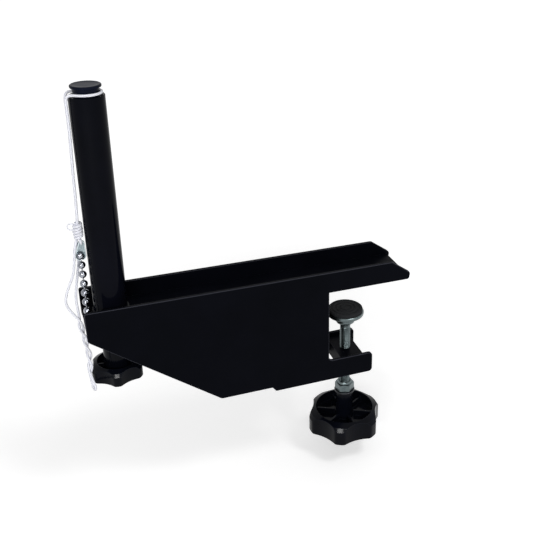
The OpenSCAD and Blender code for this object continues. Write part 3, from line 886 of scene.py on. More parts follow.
    def stretched(self, *pieces: bpy.types.Object) -> None:
        """Makes the doubled cord from the knot round the cap's neck and back.

        Args:
            *pieces: The pieces that were to go with it, which are not used.
        """
        angle = math.radians(self.neck_angle)
        bight = [
            (self.neck_r * math.cos(a), self.neck_r * math.sin(a), self.neck_z)
            for a in np.linspace(-angle, angle, self.neck_points)
        ]
        back = [(x, -y, z) for x, y, z in reversed(self.leg)]
        path = smooth_route(self.from_axis([*self.leg, *bight, *back]))
        cord = cord_tube("doubled_cord", path, CORD_D)
        dress(cord, BRAIDED_NYLON, None, "tension_cord")
        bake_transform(cord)

    def hanging(self) -> None:
        """Makes the long bight of spare cord that hangs from the knot and goes back into it."""
        path = smooth_route(self.from_axis(self.tail()))
        cord = dress(cord_tube("hanging_tail", path, CORD_D), BRAIDED_NYLON, Body.BRACKET, "cord_tail")

    def knot(self) -> bpy.types.Object:
        """Winds the cord round its own strands, a little unevenly.

        Returns:
            The knot.
        """
        x = self.knot_x + POST_X
        low, high = self.knot_low + CORD_D / 2, self.knot_high - CORD_D / 2
        t = np.linspace(0, 1, int(self.wraps * self.wrap_points))
        turn = 2 * math.pi * self.wraps * t + self.wrap_start
        wobble = sum(depth * np.sin(waves * turn + phase) for depth, waves, phase in self.wobble)
        inward, share = self.tuck
        radius = self.wrap_r + wobble - inward * np.clip((abs(t - 0.5) - 0.5 + share) / share, 0, 1)
        wrap = ring_at(turn, radius, low + (high - low) * t + self.wrap_lean * np.sin(turn + 1), x)
        heights = np.linspace(self.knot_low, self.knot_high, self.strand_points)
        strands = [
            cord_tube(f"strand_{i}", np.array([(x + a, b, z) for z in heights]), CORD_D)
            for i, (a, b) in enumerate(self.strands)
        ]
        return joined("wrapped_knot", [cord_tube("wrap", wrap, CORD_D), *strands])

    def loose_loop(self) -> bpy.types.Object:
        """Makes the small loop of a single yarn that stands out beside the knot.

        Returns:
            The loop.
        """
        return cord_tube("loose_yarn_loop", smooth_route(self.from_axis(self.yarn_loop)), self.yarn_d, 10)


# ---------------------------------------------------------------------------------------------------------
# Bracket
# ---------------------------------------------------------------------------------------------------------


@dataclass
class Bracket:
    """The welded channel that sits on the table's edge, with its pad, bridges, bush and guide screw.

    Attributes:
        ease: The reach of the steel's eased edges.
        thin_ease: The same on the floor, the bearing strap and the bush.
        pad_ease: The same on the rubber strip.
        screw_ease: The same on the guide screw.
        inner_y: Half the width between the side plates.
        seams: The X and Z of the start and the end of each weld on one side plate, and where its second leg
            points. Three are under the floor, and one each on the web, the arm's block and the strap.
        weld_leg: The reach of a weld along each face.
        weld_step: The length of weld between two rings.
        ripple: How deep the weld's ripples are, as a share of its leg, and how long.
        weld_start: The share of the leg that a weld has at its very end.
        weld_run: How fast it grows to its full leg from there.
        weld_bulge: How much its face bulges: 1 is round, and more is flatter.
        weld_arc: The points across its face, and how far in radians these stay from the faces of the steel.
        weld_root: How far it reaches behind the steel's faces.
    """

    ease: float = 0.45
    thin_ease: float = 0.25
    pad_ease: float = 0.3
    screw_ease: float = 0.2
    inner_y: float = 17.5
    seams: tuple[tuple[float, float, float, float, Point], ...] = (
        (-146, 1.5, -122, 1.5, (0, 0, -1)), (-104, 1.5, -80, 1.5, (0, 0, -1)),
        (-62, 1.5, -38, 1.5, (0, 0, -1)), (-23.5, -12, -23.5, -36, (-1, 0, 0)),
        (-7, -71, 7, -71, (0, 0, -1)), (-176, -13, -162, -13, (0, 0, -1)),
    )  # fmt: skip
    weld_leg: float = 2.4
    weld_step: float = 0.3
    ripple: tuple[float, float] = (0.07, 1.5)
    weld_start: float = 0.35
    weld_run: float = 1.6
    weld_bulge: float = 1.15
    weld_arc: tuple[int, float] = (7, 0.02)
    weld_root: float = 0.05

    def build(self) -> None:
        """Makes the channel's pieces and its welds."""
        pieces = (
            ("front_side_plate", "front_plate", self.ease, POWDER_COAT),
            ("back_side_plate", "rear_plate", self.ease, POWDER_COAT),
            ("channel_floor", "floor_plate", self.thin_ease, POWDER_COAT),
            ("end_web", "throat_web", self.ease, POWDER_COAT),
            ("arm_block", "arm_bridge", self.ease, POWDER_COAT),
            ("bearing_strap", "bearing_bridge", self.thin_ease, POWDER_COAT),
            ("table_strip", "table_pad", self.pad_ease, PAD_RUBBER),
            ("slide_bush", "guide_bush", self.thin_ease, BUSH_NYLON),
            ("slot_guide_screw", "guide_screw", self.screw_ease, ZINC_PLATE),
        )
        for name, node, ease, finish in pieces:
            dress(copied(name, node, ease), finish, Body.BRACKET, node)
        welds = [self.weld(i, *ends) for i, ends in enumerate(self.weld_lines())]
        dress(joined("weld_beads", welds), POWDER_COAT, Body.BRACKET)

    def weld_lines(self) -> list[tuple[Point, Point, Point, Point]]:
        """Lists the welds.

        Returns:
            For each, its start, its end and the two directions that its legs point in.
        """
        return [
            ((x0, side * self.inner_y, z0), (x1, side * self.inner_y, z1), (0, -side, 0), second)
            for side in (-1, 1)
            for x0, z0, x1, z1, second in self.seams
        ]

    def weld(self, index: int, start: Point, end: Point, leg_a: Point, leg_b: Point) -> bpy.types.Object:
        """Makes one rippled fillet weld.

        Args:
            index: Its number.
            start: Where it starts in mm.
            end: Where it ends in mm.
            leg_a: The direction of its leg along one face.
            leg_b: The direction of its leg along the other face.

        Returns:
            The weld.
        """
        a, b, first, second = (np.array(v, float) for v in (start, end, leg_a, leg_b))
        length = float(np.linalg.norm(b - a))
        depth, wave = self.ripple
        (points, margin), bulge = self.weld_arc, self.weld_bulge
        rings = []
        for t in np.linspace(0, 1, int(length / self.weld_step)):
            ripple = 1 + depth * abs(math.sin(math.pi * t * length / wave))
            taper = min(1.0, self.weld_start + self.weld_run * min(t, 1 - t) * length / self.weld_leg)
            leg = self.weld_leg * ripple * taper
            centre = a + t * (b - a)
            face = [
                centre + leg * (math.cos(u) ** bulge * first + math.sin(u) ** bulge * second)
                for u in np.linspace(margin, math.pi / 2 - margin, points)
            ]
            rings.append([centre - self.weld_root * (first + second), *face])
        return loft(f"weld_{index}", rings, Ends.CAPPED)


# ---------------------------------------------------------------------------------------------------------
# Post and cap
# ---------------------------------------------------------------------------------------------------------


@dataclass
class Post:
    """The net post: tube, threaded plug with its pins, and the necked cap.

    Attributes:
        rim_z: The height of the tube's rim.
        plug_h: The depth of the cap's plug in the tube.
        plug_r: The radius of the plug.
        neck_r: The radius of the neck that the cord lies round.
        disc_r: The radius of the cap's disc.
        neck_h: The height of the neck.
        disc_t: The thickness of the disc.
        eases: The reach of the eased edges of the tube, the threaded plug and its pins.
    """

    rim_z: float = 153.4
    plug_h: float = 12.0
    plug_r: float = 9.55
    neck_r: float = 8.0
    disc_r: float = 9.5
    neck_h: float = 4.8
    disc_t: float = 1.8
    eases: Point = (0.15, 0.4, 0.25)

    def build(self) -> None:
        """Makes the post's pieces."""
        tube, plug, pins = self.eases
        dress(copied("net_post_tube", "post_tube", tube), POST_ENAMEL, Body.POST, "post_tube")
        dress(copied("threaded_plug", "post_nut", plug), TURNED_BRASS, Body.POST, "post_nut")
        dress(copied("plug_pins", "post_nut_pin", pins), ZINC_PLATE, Body.POST, "post_nut_pin")
        dress(self.cap(), CAP_NYLON, Body.POST, "post_cap")

    def cap(self) -> bpy.types.Object:
        """Turns the cap: its plug, the neck for the cord, and a disc with a faintly dished top.

        Returns:
            The cap.
        """
        z, top = self.rim_z, self.rim_z + self.neck_h + self.disc_t
        foot, low = z - self.plug_h, z + self.neck_h
        plug, neck, disc = self.plug_r, self.neck_r, self.disc_r
        profile = [
            (0.0, foot), (plug - 1.0, foot), (plug, foot + 1.0), (plug, z - 0.25), (plug - 0.25, z),
            (neck + 0.55, z), (neck + 0.2, z + 0.15), (neck, z + 0.6), (neck - 0.12, z + 1.5),
            (neck, z + 2.4), (neck, low - 0.7), (neck + 0.2, low - 0.2), (neck + 0.5, low),
            (disc - 0.5, low), (disc - 0.14, low + 0.12), (disc, low + 0.4), (disc, top - 0.6),
            (disc - 0.16, top - 0.28), (disc - 0.5, top - 0.08), (disc - 1.0, top), (disc - 1.5, top),
            (disc - 2.0, top - 0.16), (disc - 4.0, top - 0.26), (0.0, top - 0.3),
        ]  # fmt: skip
        return turned("grooved_cap", profile, POST_X, Ends.POINTED, sides=128)


# ---------------------------------------------------------------------------------------------------------
# Knobs and screws
# ---------------------------------------------------------------------------------------------------------


@dataclass
class StarKnob:
    """A moulded six-lobed knob with a ribbed pocket round its hub. Heights count from its rim.

    Attributes:
        name: The piece's name.
        x: Where its axis stands.
        top: The height of its rim.
        radius: The radius over the lobes.
        height: The height of the lobed part.
        valley: How deep the valleys between the lobes are.
        scallop_r: The radius of a valley.
        face: Width and height of the steep face over a lobe's side.
        slope: Width and height of the slope from there up to the rim.
        pocket: Inner and outer radius and depth of the ribbed pocket.
        rib: Width of a rib, which runs to a valley, and its drop under the rim.
        turn: The angle of the first lobe in degrees.
        cap: Radius and depth of the recess under the knob.
        hub: Radii and heights up the hub.
        bore: Radius of the bore and the height of its end.
        columns: The columns of faces from rib to rib.
        blend: How softly lobes and valleys meet.
        rib_flank: How far a rib's side slopes outwards on its way down.
        lip: The least width of the step at the foot of the face.
        ease: The reach of its eased edges.
    """

    name: str
    x: float
    top: float
    radius: float
    height: float
    valley: float
    scallop_r: float
    face: tuple[float, float]
    slope: tuple[float, float]
    pocket: tuple[float, float, float]
    rib: tuple[float, float]
    turn: float
    cap: tuple[float, float]
    hub: Profile
    bore: tuple[float, float]
    columns: int = 30
    blend: float = 0.45
    rib_flank: float = 0.35
    lip: float = 0.2
    ease: float = 0.3

    def angles(self, radius: float) -> np.ndarray:
        """Spaces the columns so that the ribs keep their width at this radius.

        Args:
            radius: The radius in mm.

        Returns:
            The columns' angles in radians.
        """
        crest = math.asin(self.rib[0] / 2 / radius)
        foot = math.asin((self.rib[0] / 2 + self.rib_flank) / radius)
        steps = np.linspace(foot, SEXTANT - foot, self.columns)
        one = np.concatenate([[0.0, crest], steps, [SEXTANT - crest]])
        # The ribs run to the valleys, which are 30 degrees on from the lobes.
        return np.concatenate([one + k * SEXTANT for k in range(6)]) + math.radians(self.turn + 30)

    def outline(self, angles: np.ndarray) -> np.ndarray:
        """Finds the radius of lobes and valleys, blended where they meet.

        Args:
            angles: The angles in radians.

        Returns:
            The radius at each angle in mm.
        """
        from_valley = (angles - math.radians(self.turn)) % SEXTANT - SEXTANT / 2
        centre = self.radius - self.valley + self.scallop_r
        inside = self.scallop_r**2 - (centre * np.sin(from_valley)) ** 2
        scallop = centre * np.cos(from_valley) - np.sqrt(np.clip(inside, 0, None))
        nearest = np.minimum(scallop, self.radius)
        weights = np.exp((nearest - scallop) / self.blend) + np.exp((nearest - self.radius) / self.blend)
        return nearest - self.blend * np.log(weights)

    def build(self) -> bpy.types.Object:
        """Makes the knob from rings that run from under its centre, up its side and over the top to the bore.

        Returns:
            The knob.
        """
        inner, outer, depth = self.pocket
        base = self.angles((inner + outer) / 2)
        edge = self.outline(base)
        crease = self.radius - self.face[0]
        rim = crease - self.slope[0]
        inner_edge = np.minimum(edge - self.lip, crease)
        on_rib = np.tile([True, True] + [False] * self.columns + [True], 6)
        low, z = -self.height, self.top

        def pocket_ring(radius: float, floor: float) -> np.ndarray:
            """Returns a ring in the pocket, raised where a rib crosses it."""
            return ring_at(self.angles(radius), radius, z + np.where(on_rib, -self.rib[1], floor), self.x)

        def fall(radius: np.ndarray) -> np.ndarray:
            """Returns the heights of the face and the slope at these radii."""
            bottom = -self.slope[1] - self.face[1]
            return np.interp(radius, (rim, crease, self.radius), (0.0, -self.slope[1], bottom))

        plain = [
            (0.0, low + self.cap[1]), (self.cap[0], low + self.cap[1]), (self.cap[0], low),
            (edge - 1.6, low), (edge - 0.5, low + 0.35), (edge, low + 1.3), (edge, fall(edge)),
            (inner_edge, fall(inner_edge)), (rim, 0.0), (outer + 0.3, 0.0),
        ]  # fmt: skip
        rings = [ring_at(base, r, z + h, self.x) for r, h in plain]
        rings += [ring_at(self.angles(outer), outer, z - 0.35, self.x)]
        rings += [pocket_ring(outer - 0.3, -depth), pocket_ring(inner, -depth)]
        inside = ((self.bore[0], self.hub[-1][1]), self.bore, (0.0, self.bore[1]))
        rings += [ring_at(base, r, z + h, self.x) for r, h in (*self.hub, *inside)]
        return loft(self.name, rings, Ends.POINTED, self.ease)


def knob_cap(name: str, x: float, low: float, radius: float, thick: float) -> bpy.types.Object:
    """Makes the pressed-in cap under a knob, with a ring groove and a dished middle.

    Args:
        name: The piece's name.
        x: Where its axis stands in mm.
        low: The height of its outer face in mm.
        radius: Its radius in mm.
        thick: Its thickness in mm.

    Returns:
        The cap.
    """
    profile = [
        (0.0, low + thick), (radius, low + thick), (radius, low + 0.35), (radius - 0.35, low),
        (radius - 1.3, low), (radius - 1.5, low + 0.25), (radius - 1.9, low + 0.25), (radius - 2.1, low),
        (radius * 0.45, low + 0.2), (0.0, low + 0.3),
    ]  # fmt: skip
    return turned(name, profile, x, Ends.POINTED)


@dataclass
class Screw:
    """An M8 screw as rings up its axis, threaded over part of its length.

    Attributes:
        name: The piece's name.
        x: Where its axis stands.
        below: Radius and height pairs under the thread, from the bottom up.
        thread: The lowest and highest point of the thread.
        above: Radius and height pairs over the thread.
        major: The radius over the crests.
        depth: The thread's depth.
        pitch: The thread's pitch.
        flank: How steeply the flanks fall, and how much of that the flat crest takes.
        sides: The number of faces round it.
        steps: The number of rings to a turn.
    """

    name: str
    x: float
    below: Profile
    thread: tuple[float, float]
    above: Profile
    major: float = 3.99
    depth: float = 0.66
    pitch: float = 1.25
    flank: tuple[float, float] = (1.35, 0.15)
    sides: int = 28
    steps: int = 10

    def build(self) -> bpy.types.Object:
        """Makes the screw with a right-hand thread that runs out at both ends.

        Returns:
            The screw.
        """
        angles = np.linspace(0, 2 * math.pi, self.sides, endpoint=False)
        low, high = self.thread
        steep, crest = self.flank
        heights = np.linspace(low, high, int((high - low) / self.pitch * self.steps))
        rings = [ring_at(angles, r, z, self.x) for r, z in self.below]
        for z in heights:
            phase = (z / self.pitch - angles / (2 * math.pi)) % 1
            fall = np.clip(steep * abs(2 * phase - 1) - crest, 0, 1)
            run_out = min(1.0, (z - low) / self.pitch, (high - z) / self.pitch)
            rings.append(ring_at(angles, self.major - self.depth * run_out * fall, z, self.x))
        rings += [ring_at(angles, r, z, self.x) for r, z in self.above]
        return loft(self.name, rings, Ends.POINTED)


@dataclass
class HeightDrive:
    """The captive screw that raises the post, with its collar, washer and small knob.

    Attributes:
        x: Where its axis stands.
        star_top: The height of the knob's rim.
        star_h: The height of its lobed part.
        hub_r: The radius of its hub.
        hub_top: The height of the hub's top.
        cap_r: The radius of the cap under the knob.
        cap_t: The cap's thickness.
        screw_low: The height of the screw's lower end.
        screw_high: The height of its upper end.
        thread_low: The height at which its thread starts.
        tip_r: The radius of its upper end.
        collar_ease: The reach of the collar's eased edges.
        washer_ease: The same on the washer.
    """

    x: float = POST_X
    star_top: float = -32.7
    star_h: float = 11.8
    hub_r: float = 8.5
    hub_top: float = -14.3
    cap_r: float = 6.9
    cap_t: float = 1.2
    screw_low: float = -41.0
    screw_high: float = 36.0
    thread_low: float = -6.8
    tip_r: float = 3.3
    collar_ease: float = 0.35
    washer_ease: float = 0.2

    def build(self) -> None:
        """Makes the drive's pieces."""
        drive = Body.HEIGHT_DRIVE
        hub, rise = self.hub_r, self.hub_top - self.star_top
        knob = StarKnob(
            "height_star_knob", self.x, self.star_top, radius=18.5, height=self.star_h,
            valley=2.9, scallop_r=18.0, face=(1.4, 2.4), slope=(3.5, 1.8),
            pocket=(hub + 0.6, 13.2, 6.0), rib=(1.2, 2.4), turn=-97.5, cap=(7.0, self.cap_t),
            hub=((hub + 0.35, -5.3), (hub, -2.0), (hub, rise - 0.5), (hub - 0.5, rise)),
            bore=(BORE_R, -8.3),
        )  # fmt: skip
        dress(knob.build(), KNOB_ABS, drive, "height_knob")
        cap = knob_cap("height_knob_end_cap", self.x, self.star_top - self.star_h, self.cap_r, self.cap_t)
        dress(cap, KNOB_ABS, drive, "height_knob_cap")
        screw = Screw(
            "height_adjusting_screw", self.x,
            below=((0.0, self.screw_low), (SHANK_R, self.screw_low), (SHANK_R, self.thread_low - 0.1)),
            thread=(self.thread_low, self.screw_high - 0.8),
            above=((self.tip_r, self.screw_high), (0.0, self.screw_high)),
        )  # fmt: skip
        dress(screw.build(), ZINC_PLATE, drive, "height_screw")
        collar = copied("retaining_collar", "height_collar", self.collar_ease)
        dress(collar, ZINC_PLATE, drive, "height_collar")
        washer = copied("thrust_washer", "height_washer", self.washer_ease)
        dress(washer, ZINC_PLATE, drive, "height_washer")


@dataclass
class ClampFoot:
    """The swivel foot on the clamp screw's ball, with its rubber pad.

    Attributes:
        disc_r: The radius of the foot's disc.
        disc_top: The height of its upper face.
        disc_low: The height of its lower face.
        boss_r: The radius of the boss under it.
        boss_low: The height of the boss's lower end.
        ball_z: The height of the ball's middle.
        socket_r: The radius of the socket round the ball.
        mouth_r: The radius of the socket's mouth.
        pad_r: The radius of the pad.
        pad_t: The pad's thickness.
        grooves: The radii of the ring grooves in its face.
        groove: A groove's half width at its bottom and at its top, and its depth.
    """

    disc_r: float = 14.0
    disc_top: float = -28.5
    disc_low: float = -31.5
    boss_r: float = 7.5
    boss_low: float = -38.5
    ball_z: float = -34.0
    socket_r: float = 4.5
    mouth_r: float = 3.6
    pad_r: float = 13.0
    pad_t: float = 2.5
    grooves: tuple[float, ...] = (10.4, 7.2, 4.0)
    groove: Point = (0.45, 0.7, 0.4)

    def build(self) -> None:
        """Makes the foot and its pad."""
        dress(self.foot(), ZINC_PLATE, Body.CLAMP_FOOT, "swivel_foot")
        dress(self.pad(), PAD_RUBBER, Body.CLAMP_FOOT, "foot_pad")

    def foot(self) -> bpy.types.Object:
        """Turns the disc and its boss, crimped in round the ball.

        Returns:
            The foot.
        """
        mouth = math.asin(self.mouth_r / self.socket_r)
        socket = [
            (self.socket_r * math.sin(a), self.ball_z - self.socket_r * math.cos(a))
            for a in np.linspace(mouth, math.pi, 14)
        ]
        disc, top, low = self.disc_r, self.disc_top, self.disc_low
        boss, end = self.boss_r, self.boss_low
        outside = [
            (0.0, top), (disc - 0.5, top), (disc, top - 0.5), (disc, low + 1.0), (disc - 0.3, low + 0.35),
            (disc - 1.0, low), (boss + 1.6, low), (boss + 0.5, low - 0.4), (boss, low - 1.6),
            (boss, end + 2.2), (boss - 0.5, end + 0.9), (boss - 1.6, end), (self.mouth_r, end),
        ]  # fmt: skip
        return turned("swivel_foot_plate", outside + socket, 0.0, Ends.POINTED)

    def pad(self) -> bpy.types.Object:
        """Moulds the pad with ring grooves in its gripping face.

        Returns:
            The pad.
        """
        low, top = self.disc_top, self.disc_top + self.pad_t
        narrow, wide, depth = self.groove
        profile = [(0.0, low), (self.pad_r - 0.2, low), (self.pad_r, low + 0.3)]
        profile += [(self.pad_r, top - 0.5), (self.pad_r - 0.5, top)]
        for r in self.grooves:
            profile += [(r + wide, top), (r + narrow, top - depth)]
            profile += [(r - narrow, top - depth), (r - wide, top)]
        return turned("foot_grip_pad", [*profile, (0.0, top)], 0.0, Ends.POINTED)


@dataclass
class ClampDrive:
    """The clamp screw with its ball, lock nut, washer and large star knob.

    Attributes:
        star_top: The height of the knob's rim.
        star_h: The height of its lobed part.
        neck_r: The radius of its neck.
        neck_top: The height of the neck's top.
        cap_r: The radius of the cap under the knob.
        cap_t: The cap's thickness.
        nut_low: The height of the nut's lower face.
        nut_h: The nut's height.
        nut_af: Its width across the flats.
        nut_turn: The angle of one of its corners in degrees.
        nut_bore: The radius of its hole.
        nut_sides: The number of faces round it.
        ball_z: The height of the ball's middle.
        ball_r: The ball's radius.
        ball_neck_r: The radius of the turned neck under the ball.
        shank_top: The height at which the shank ends.
        tip_r: The radius of the shank's end.
        screw_low: The height of the screw's lower end.
        thread_low: The height at which its thread starts.
        washer_ease: The reach of the washer's eased edges.
    """

    star_top: float = -115.2
    star_h: float = 17.4
    neck_r: float = 6.75
    neck_top: float = -100.0
    cap_r: float = 12.9
    cap_t: float = 1.4
    nut_low: float = -98.5
    nut_h: float = 8.0
    nut_af: float = 13.0
    nut_turn: float = 39.0
    nut_bore: float = 4.03
    nut_sides: int = 96
    ball_z: float = -34.0
    ball_r: float = 4.4
    ball_neck_r: float = 2.9
    shank_top: float = -40.0
    tip_r: float = 3.3
    screw_low: float = -127.0
    thread_low: float = -98.4
    washer_ease: float = 0.3

    def build(self) -> None:
        """Makes the drive's pieces."""
        drive = Body.CLAMP_DRIVE
        neck, rise = self.neck_r, self.neck_top - self.star_top
        knob = StarKnob(
            "clamp_star_knob", 0.0, self.star_top, radius=29.0, height=self.star_h,
            valley=4.2, scallop_r=31.0, face=(1.8, 3.1), slope=(4.4, 2.2),
            pocket=(neck + 0.8, 22.4, 8.0), rib=(1.5, 3.6), turn=-118.0, cap=(13.0, self.cap_t),
            hub=((neck + 0.6, -7.4), (neck, -2.0), (neck, rise - 0.6), (neck - 0.6, rise)),
            bore=(BORE_R, -11.8),
        )  # fmt: skip
        dress(knob.build(), KNOB_ABS, drive, "clamp_knob")
        cap = knob_cap("clamp_knob_end_cap", 0.0, self.star_top - self.star_h, self.cap_r, self.cap_t)
        dress(cap, KNOB_ABS, drive, "clamp_knob_cap")
        dress(self.screw().build(), ZINC_PLATE, drive, "clamp_screw")
        dress(self.nut(), ZINC_PLATE, drive, "clamp_nut")
        washer = copied("nut_washer", "clamp_washer", self.washer_ease)
        dress(washer, BLACK_OXIDE, drive, "clamp_washer")

    def screw(self) -> Screw:
        """Sizes the screw with its turned neck and ball.

        Returns:
            The screw, not built yet.
        """
        start = math.pi - math.asin(self.ball_neck_r / self.ball_r)
        angles = np.linspace(start, 0, 18)
        ball = [(self.ball_r * math.sin(a), self.ball_z + self.ball_r * math.cos(a)) for a in angles]
        end = self.shank_top
        return Screw(
            "clamping_screw", 0.0,
            below=((0.0, self.screw_low), (SHANK_R, self.screw_low), (SHANK_R, self.thread_low - 0.6)),
            thread=(self.thread_low, end - 1.2),
            above=((SHANK_R, end - 0.8), (self.tip_r, end), (self.ball_neck_r, end + 0.4), *ball),
        )  # fmt: skip

    def nut(self) -> bpy.types.Object:
        """Makes the hexagon nut with turned corners and the collar that holds its locking ring.

        Returns:
            The nut.
        """
        turn = math.radians(self.nut_turn)
        angles = np.linspace(0, 2 * math.pi, self.nut_sides, endpoint=False) + turn
        half = self.nut_af / 2
        hexagon = half / np.cos((angles - turn) % SEXTANT - SEXTANT / 2)
        face = half - 0.25
        fall = np.clip(hexagon - face, 0, None) * math.tan(SEXTANT / 2)
        low, top = self.nut_low, self.nut_low + self.nut_h
        shoulder = top - 1.7
        profile = (
            (self.nut_bore, low), (face, low), (hexagon, low + fall), (hexagon, shoulder - fall),
            (face, shoulder), (face - 0.5, shoulder), (face - 0.6, top - 0.7), (face - 1.1, top),
            (4.6, top), (self.nut_bore, top - 0.5),
        )  # fmt: skip
        return loft("lock_nut", [ring_at(angles, r, z) for r, z in profile], Ends.JOINED)


# ---------------------------------------------------------------------------------------------------------
# Ball chain
# ---------------------------------------------------------------------------------------------------------


@dataclass
class BallChain:
    """The bead chain that hooks in the floor's slot, its links, and the bent clip at its top.

    Attributes:
        count: The number of beads.
        bead_r: A bead's radius.
        wall: The thickness of its wall.
        hole_r: The radius of its holes.
        roll: How far the rolled edge of a hole reaches out from it and back into the bead.
        seam: The depth of the seam round a bead's middle.
        wire_r: A link's radius.
        link: How a link swells inside a bead: shares of its radius, and heights from the bead's middle.
        clip_foot: The centre of the clip's round end, along X and Z.
        clip_eye: The centre of its eye.
        foot_r: The radius of the strip's middle at its round end.
        eye_r: The radius of the strip's middle at its eye.
        strip: The thickness and width of the strip.
        square: How round the strip's section is across its thickness and its width, from 0 for a rectangle
            to 1 for an ellipse.
        bend_points: The points of each of the clip's bends.
        back_t: The thickness of the sheet that closes its back.
        notch: The width of the notch that the chain leaves by.
        beads: The heights of the beads, from the first one up.
    """

    count: int = 10
    bead_r: float = 2.6
    wall: float = 0.3
    hole_r: float = 0.62
    roll: tuple[float, float] = (0.18, 0.12)
    seam: float = 0.05
    wire_r: float = 0.5
    link: Profile = ((0.9, -2.3), (1.0, -1.9), (1.8, -1.3), (1.8, 1.3), (1.0, 1.9), (0.9, 2.3))
    clip_foot: tuple[float, float] = (-185.0, 48.648)
    clip_eye: tuple[float, float] = (-183.6, 57.4)
    foot_r: float = 3.175
    eye_r: float = 1.525
    strip: tuple[float, float] = (0.75, 2.0)
    square: tuple[float, float] = (0.6, 0.45)
    bend_points: int = 14
    back_t: float = 0.25
    notch: float = 1.5
    beads: list[float] = field(default_factory=list)

    def build(self) -> None:
        """Makes the beads, the links and the clip."""
        for i in range(1, self.count + 1):
            low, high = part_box(f"chain_bead_{i}")
            self.beads.append(((low + high) / 2 / MM).z)
            bead = self.bead(f"chain_ball_{i}", self.beads[-1])
            dress(bead, BEAD_NICKEL, Body.BRACKET, f"chain_bead_{i}")
        dress(self.links(), DRAWN_WIRE, Body.BRACKET, "chain_wire")
        strip, back = self.clip()
        dress(strip, CLIP_PLATE, Body.BRACKET, "chain_clip")
        # The back sheet takes a darker copy of the plate: painted shade inside the clip.
        dress(back, CLIP_PAINTED_SHADE, Body.BRACKET)

    def bead(self, name: str, z: float) -> bpy.types.Object:
        """Presses a hollow bead with rolled holes and a fine seam round its middle.

        Args:
            name: The piece's name.
            z: Its height in mm.

        Returns:
            The bead.
        """
        hole, inner_r = self.hole_r, self.bead_r - self.wall
        out, back = self.roll
        start = math.asin((hole + out) / self.bead_r)
        outside = []
        for a in np.linspace(start, math.pi - start, 33):
            seam = self.seam if abs(a - math.pi / 2) < 0.02 else 0
            outside.append((self.bead_r * math.sin(a) - seam, z + self.bead_r * math.cos(a)))
        end = math.sqrt(inner_r**2 - hole**2)
        inside = [(hole, z - end), (1.6, z - 1.6), (inner_r, z), (1.6, z + 1.6), (hole, z + end)]
        top, bottom = (hole, outside[0][1] - back), (hole, outside[-1][1] + back)
        return turned(name, [top, *outside, bottom, *inside], CHAIN_X, Ends.JOINED, sides=48)

    def links(self) -> bpy.types.Object:
        """Makes the dumb-bell links as one wire that swells inside each bead.

        Returns:
            The links.
        """
        wire = [(self.wire_r * share, z + height) for z in self.beads for share, height in self.link]
        low, high = self.beads[0] - self.bead_r, self.beads[-1] + self.bead_r
        return turned("chain_links", [(0.0, low), *wire, (0.0, high)], CHAIN_X, Ends.POINTED, sides=20)

    def bend(self, centre: np.ndarray, radius: float, start: float, stop: float) -> list[np.ndarray]:
        """Returns the points along one bend of the clip, in X and Z."""
        angles = np.linspace(start, stop, self.bend_points)
        return [centre + radius * np.array((math.cos(a), math.sin(a))) for a in angles]

    def section(self) -> list[tuple[float, float]]:
        """Draws the strip's section, a rectangle with round corners.

        Returns:
            The points of its outline, across its thickness and its width.
        """
        outline = []
        for a in np.linspace(0, 2 * math.pi, 20, endpoint=False):
            waves = zip(self.strip, self.square, (math.cos(a), math.sin(a)))
            outline.append(tuple(size / 2 * math.copysign(abs(v) ** power, v) for size, power, v in waves))
        return outline

    def clip(self) -> tuple[bpy.types.Object, bpy.types.Object]:
        """Bends the clip round the top bead and up to an eye for the cord.

        Returns:
            The strip, and the sheet that closes its back.
        """
        foot, eye = np.array(self.clip_foot), np.array(self.clip_eye)
        axis = eye - foot
        lean = math.atan2(axis[1], axis[0])
        side = math.acos((self.foot_r - self.eye_r) / float(np.linalg.norm(axis)))
        open_half = self.notch / 2 / self.foot_r
        start, stop = lean + side, lean + 2 * math.pi - side
        gap = -math.pi / 2 if start < -math.pi / 2 else 1.5 * math.pi
        right = self.bend(foot, self.foot_r, gap + open_half, stop)
        top = self.bend(eye, self.eye_r, lean - side, lean + side)
        left = self.bend(foot, self.foot_r, start, gap - open_half)
        points = np.array([*right, *top, *left])
        tangents = np.gradient(points, axis=0)
        tangents /= np.linalg.norm(tangents, axis=1)[:, None]
        section = self.section()
        bends = zip(points, tangents)
        rings = [[(p[0] + t[1] * a, b, p[1] - t[0] * a) for a, b in section] for p, t in bends]
        strip = loft("bent_chain_clip", rings, Ends.CAPPED)
        outer = self.strip[1] / 2
        inner = outer - self.back_t
        x, z = points.mean(axis=0)
        shell = [
            [(x + share * (p[0] - x), y, z + share * (p[1] - z)) for p in points]
            for share, y in ((0.0, inner), (0.99, inner), (0.99, outer), (0.0, outer))
        ]
        return strip, loft("clip_back_sheet", shell, Ends.POINTED)


# ---------------------------------------------------------------------------------------------------------
# Studio
# ---------------------------------------------------------------------------------------------------------


@dataclass
class Softbox:
    """A rectangular lamp that looks at a point.

    Attributes:
        name: The lamp's name.
        azimuth: The heading from which it shines, as for the camera.
        elevation: How high it stands in degrees.
        distance: How far it stands from its target in metres.
        size: Its width and height in metres.
        power: Its power in watts.
        target: The point that it looks at, in mm.
    """

    name: str
    azimuth: float
    elevation: float
    distance: float
    size: tuple[float, float]
    power: float
    target: Point = (-80.0, 0.0, 20.0)

    def build(self) -> None:
        """Creates the lamp."""
        data = bpy.data.lights.new(self.name, "AREA")
        data.shape = "RECTANGLE"
        data.size, data.size_y = self.size
        data.energy = self.power
        lamp = bpy.data.objects.new(self.name, data)
        bpy.context.scene.collection.objects.link(lamp)
        back = heading(self.azimuth, self.elevation)
        lamp.location = Vector(self.target) * MM + back * self.distance
        lamp.rotation_euler = back.to_track_quat("Z", "Y").to_euler()


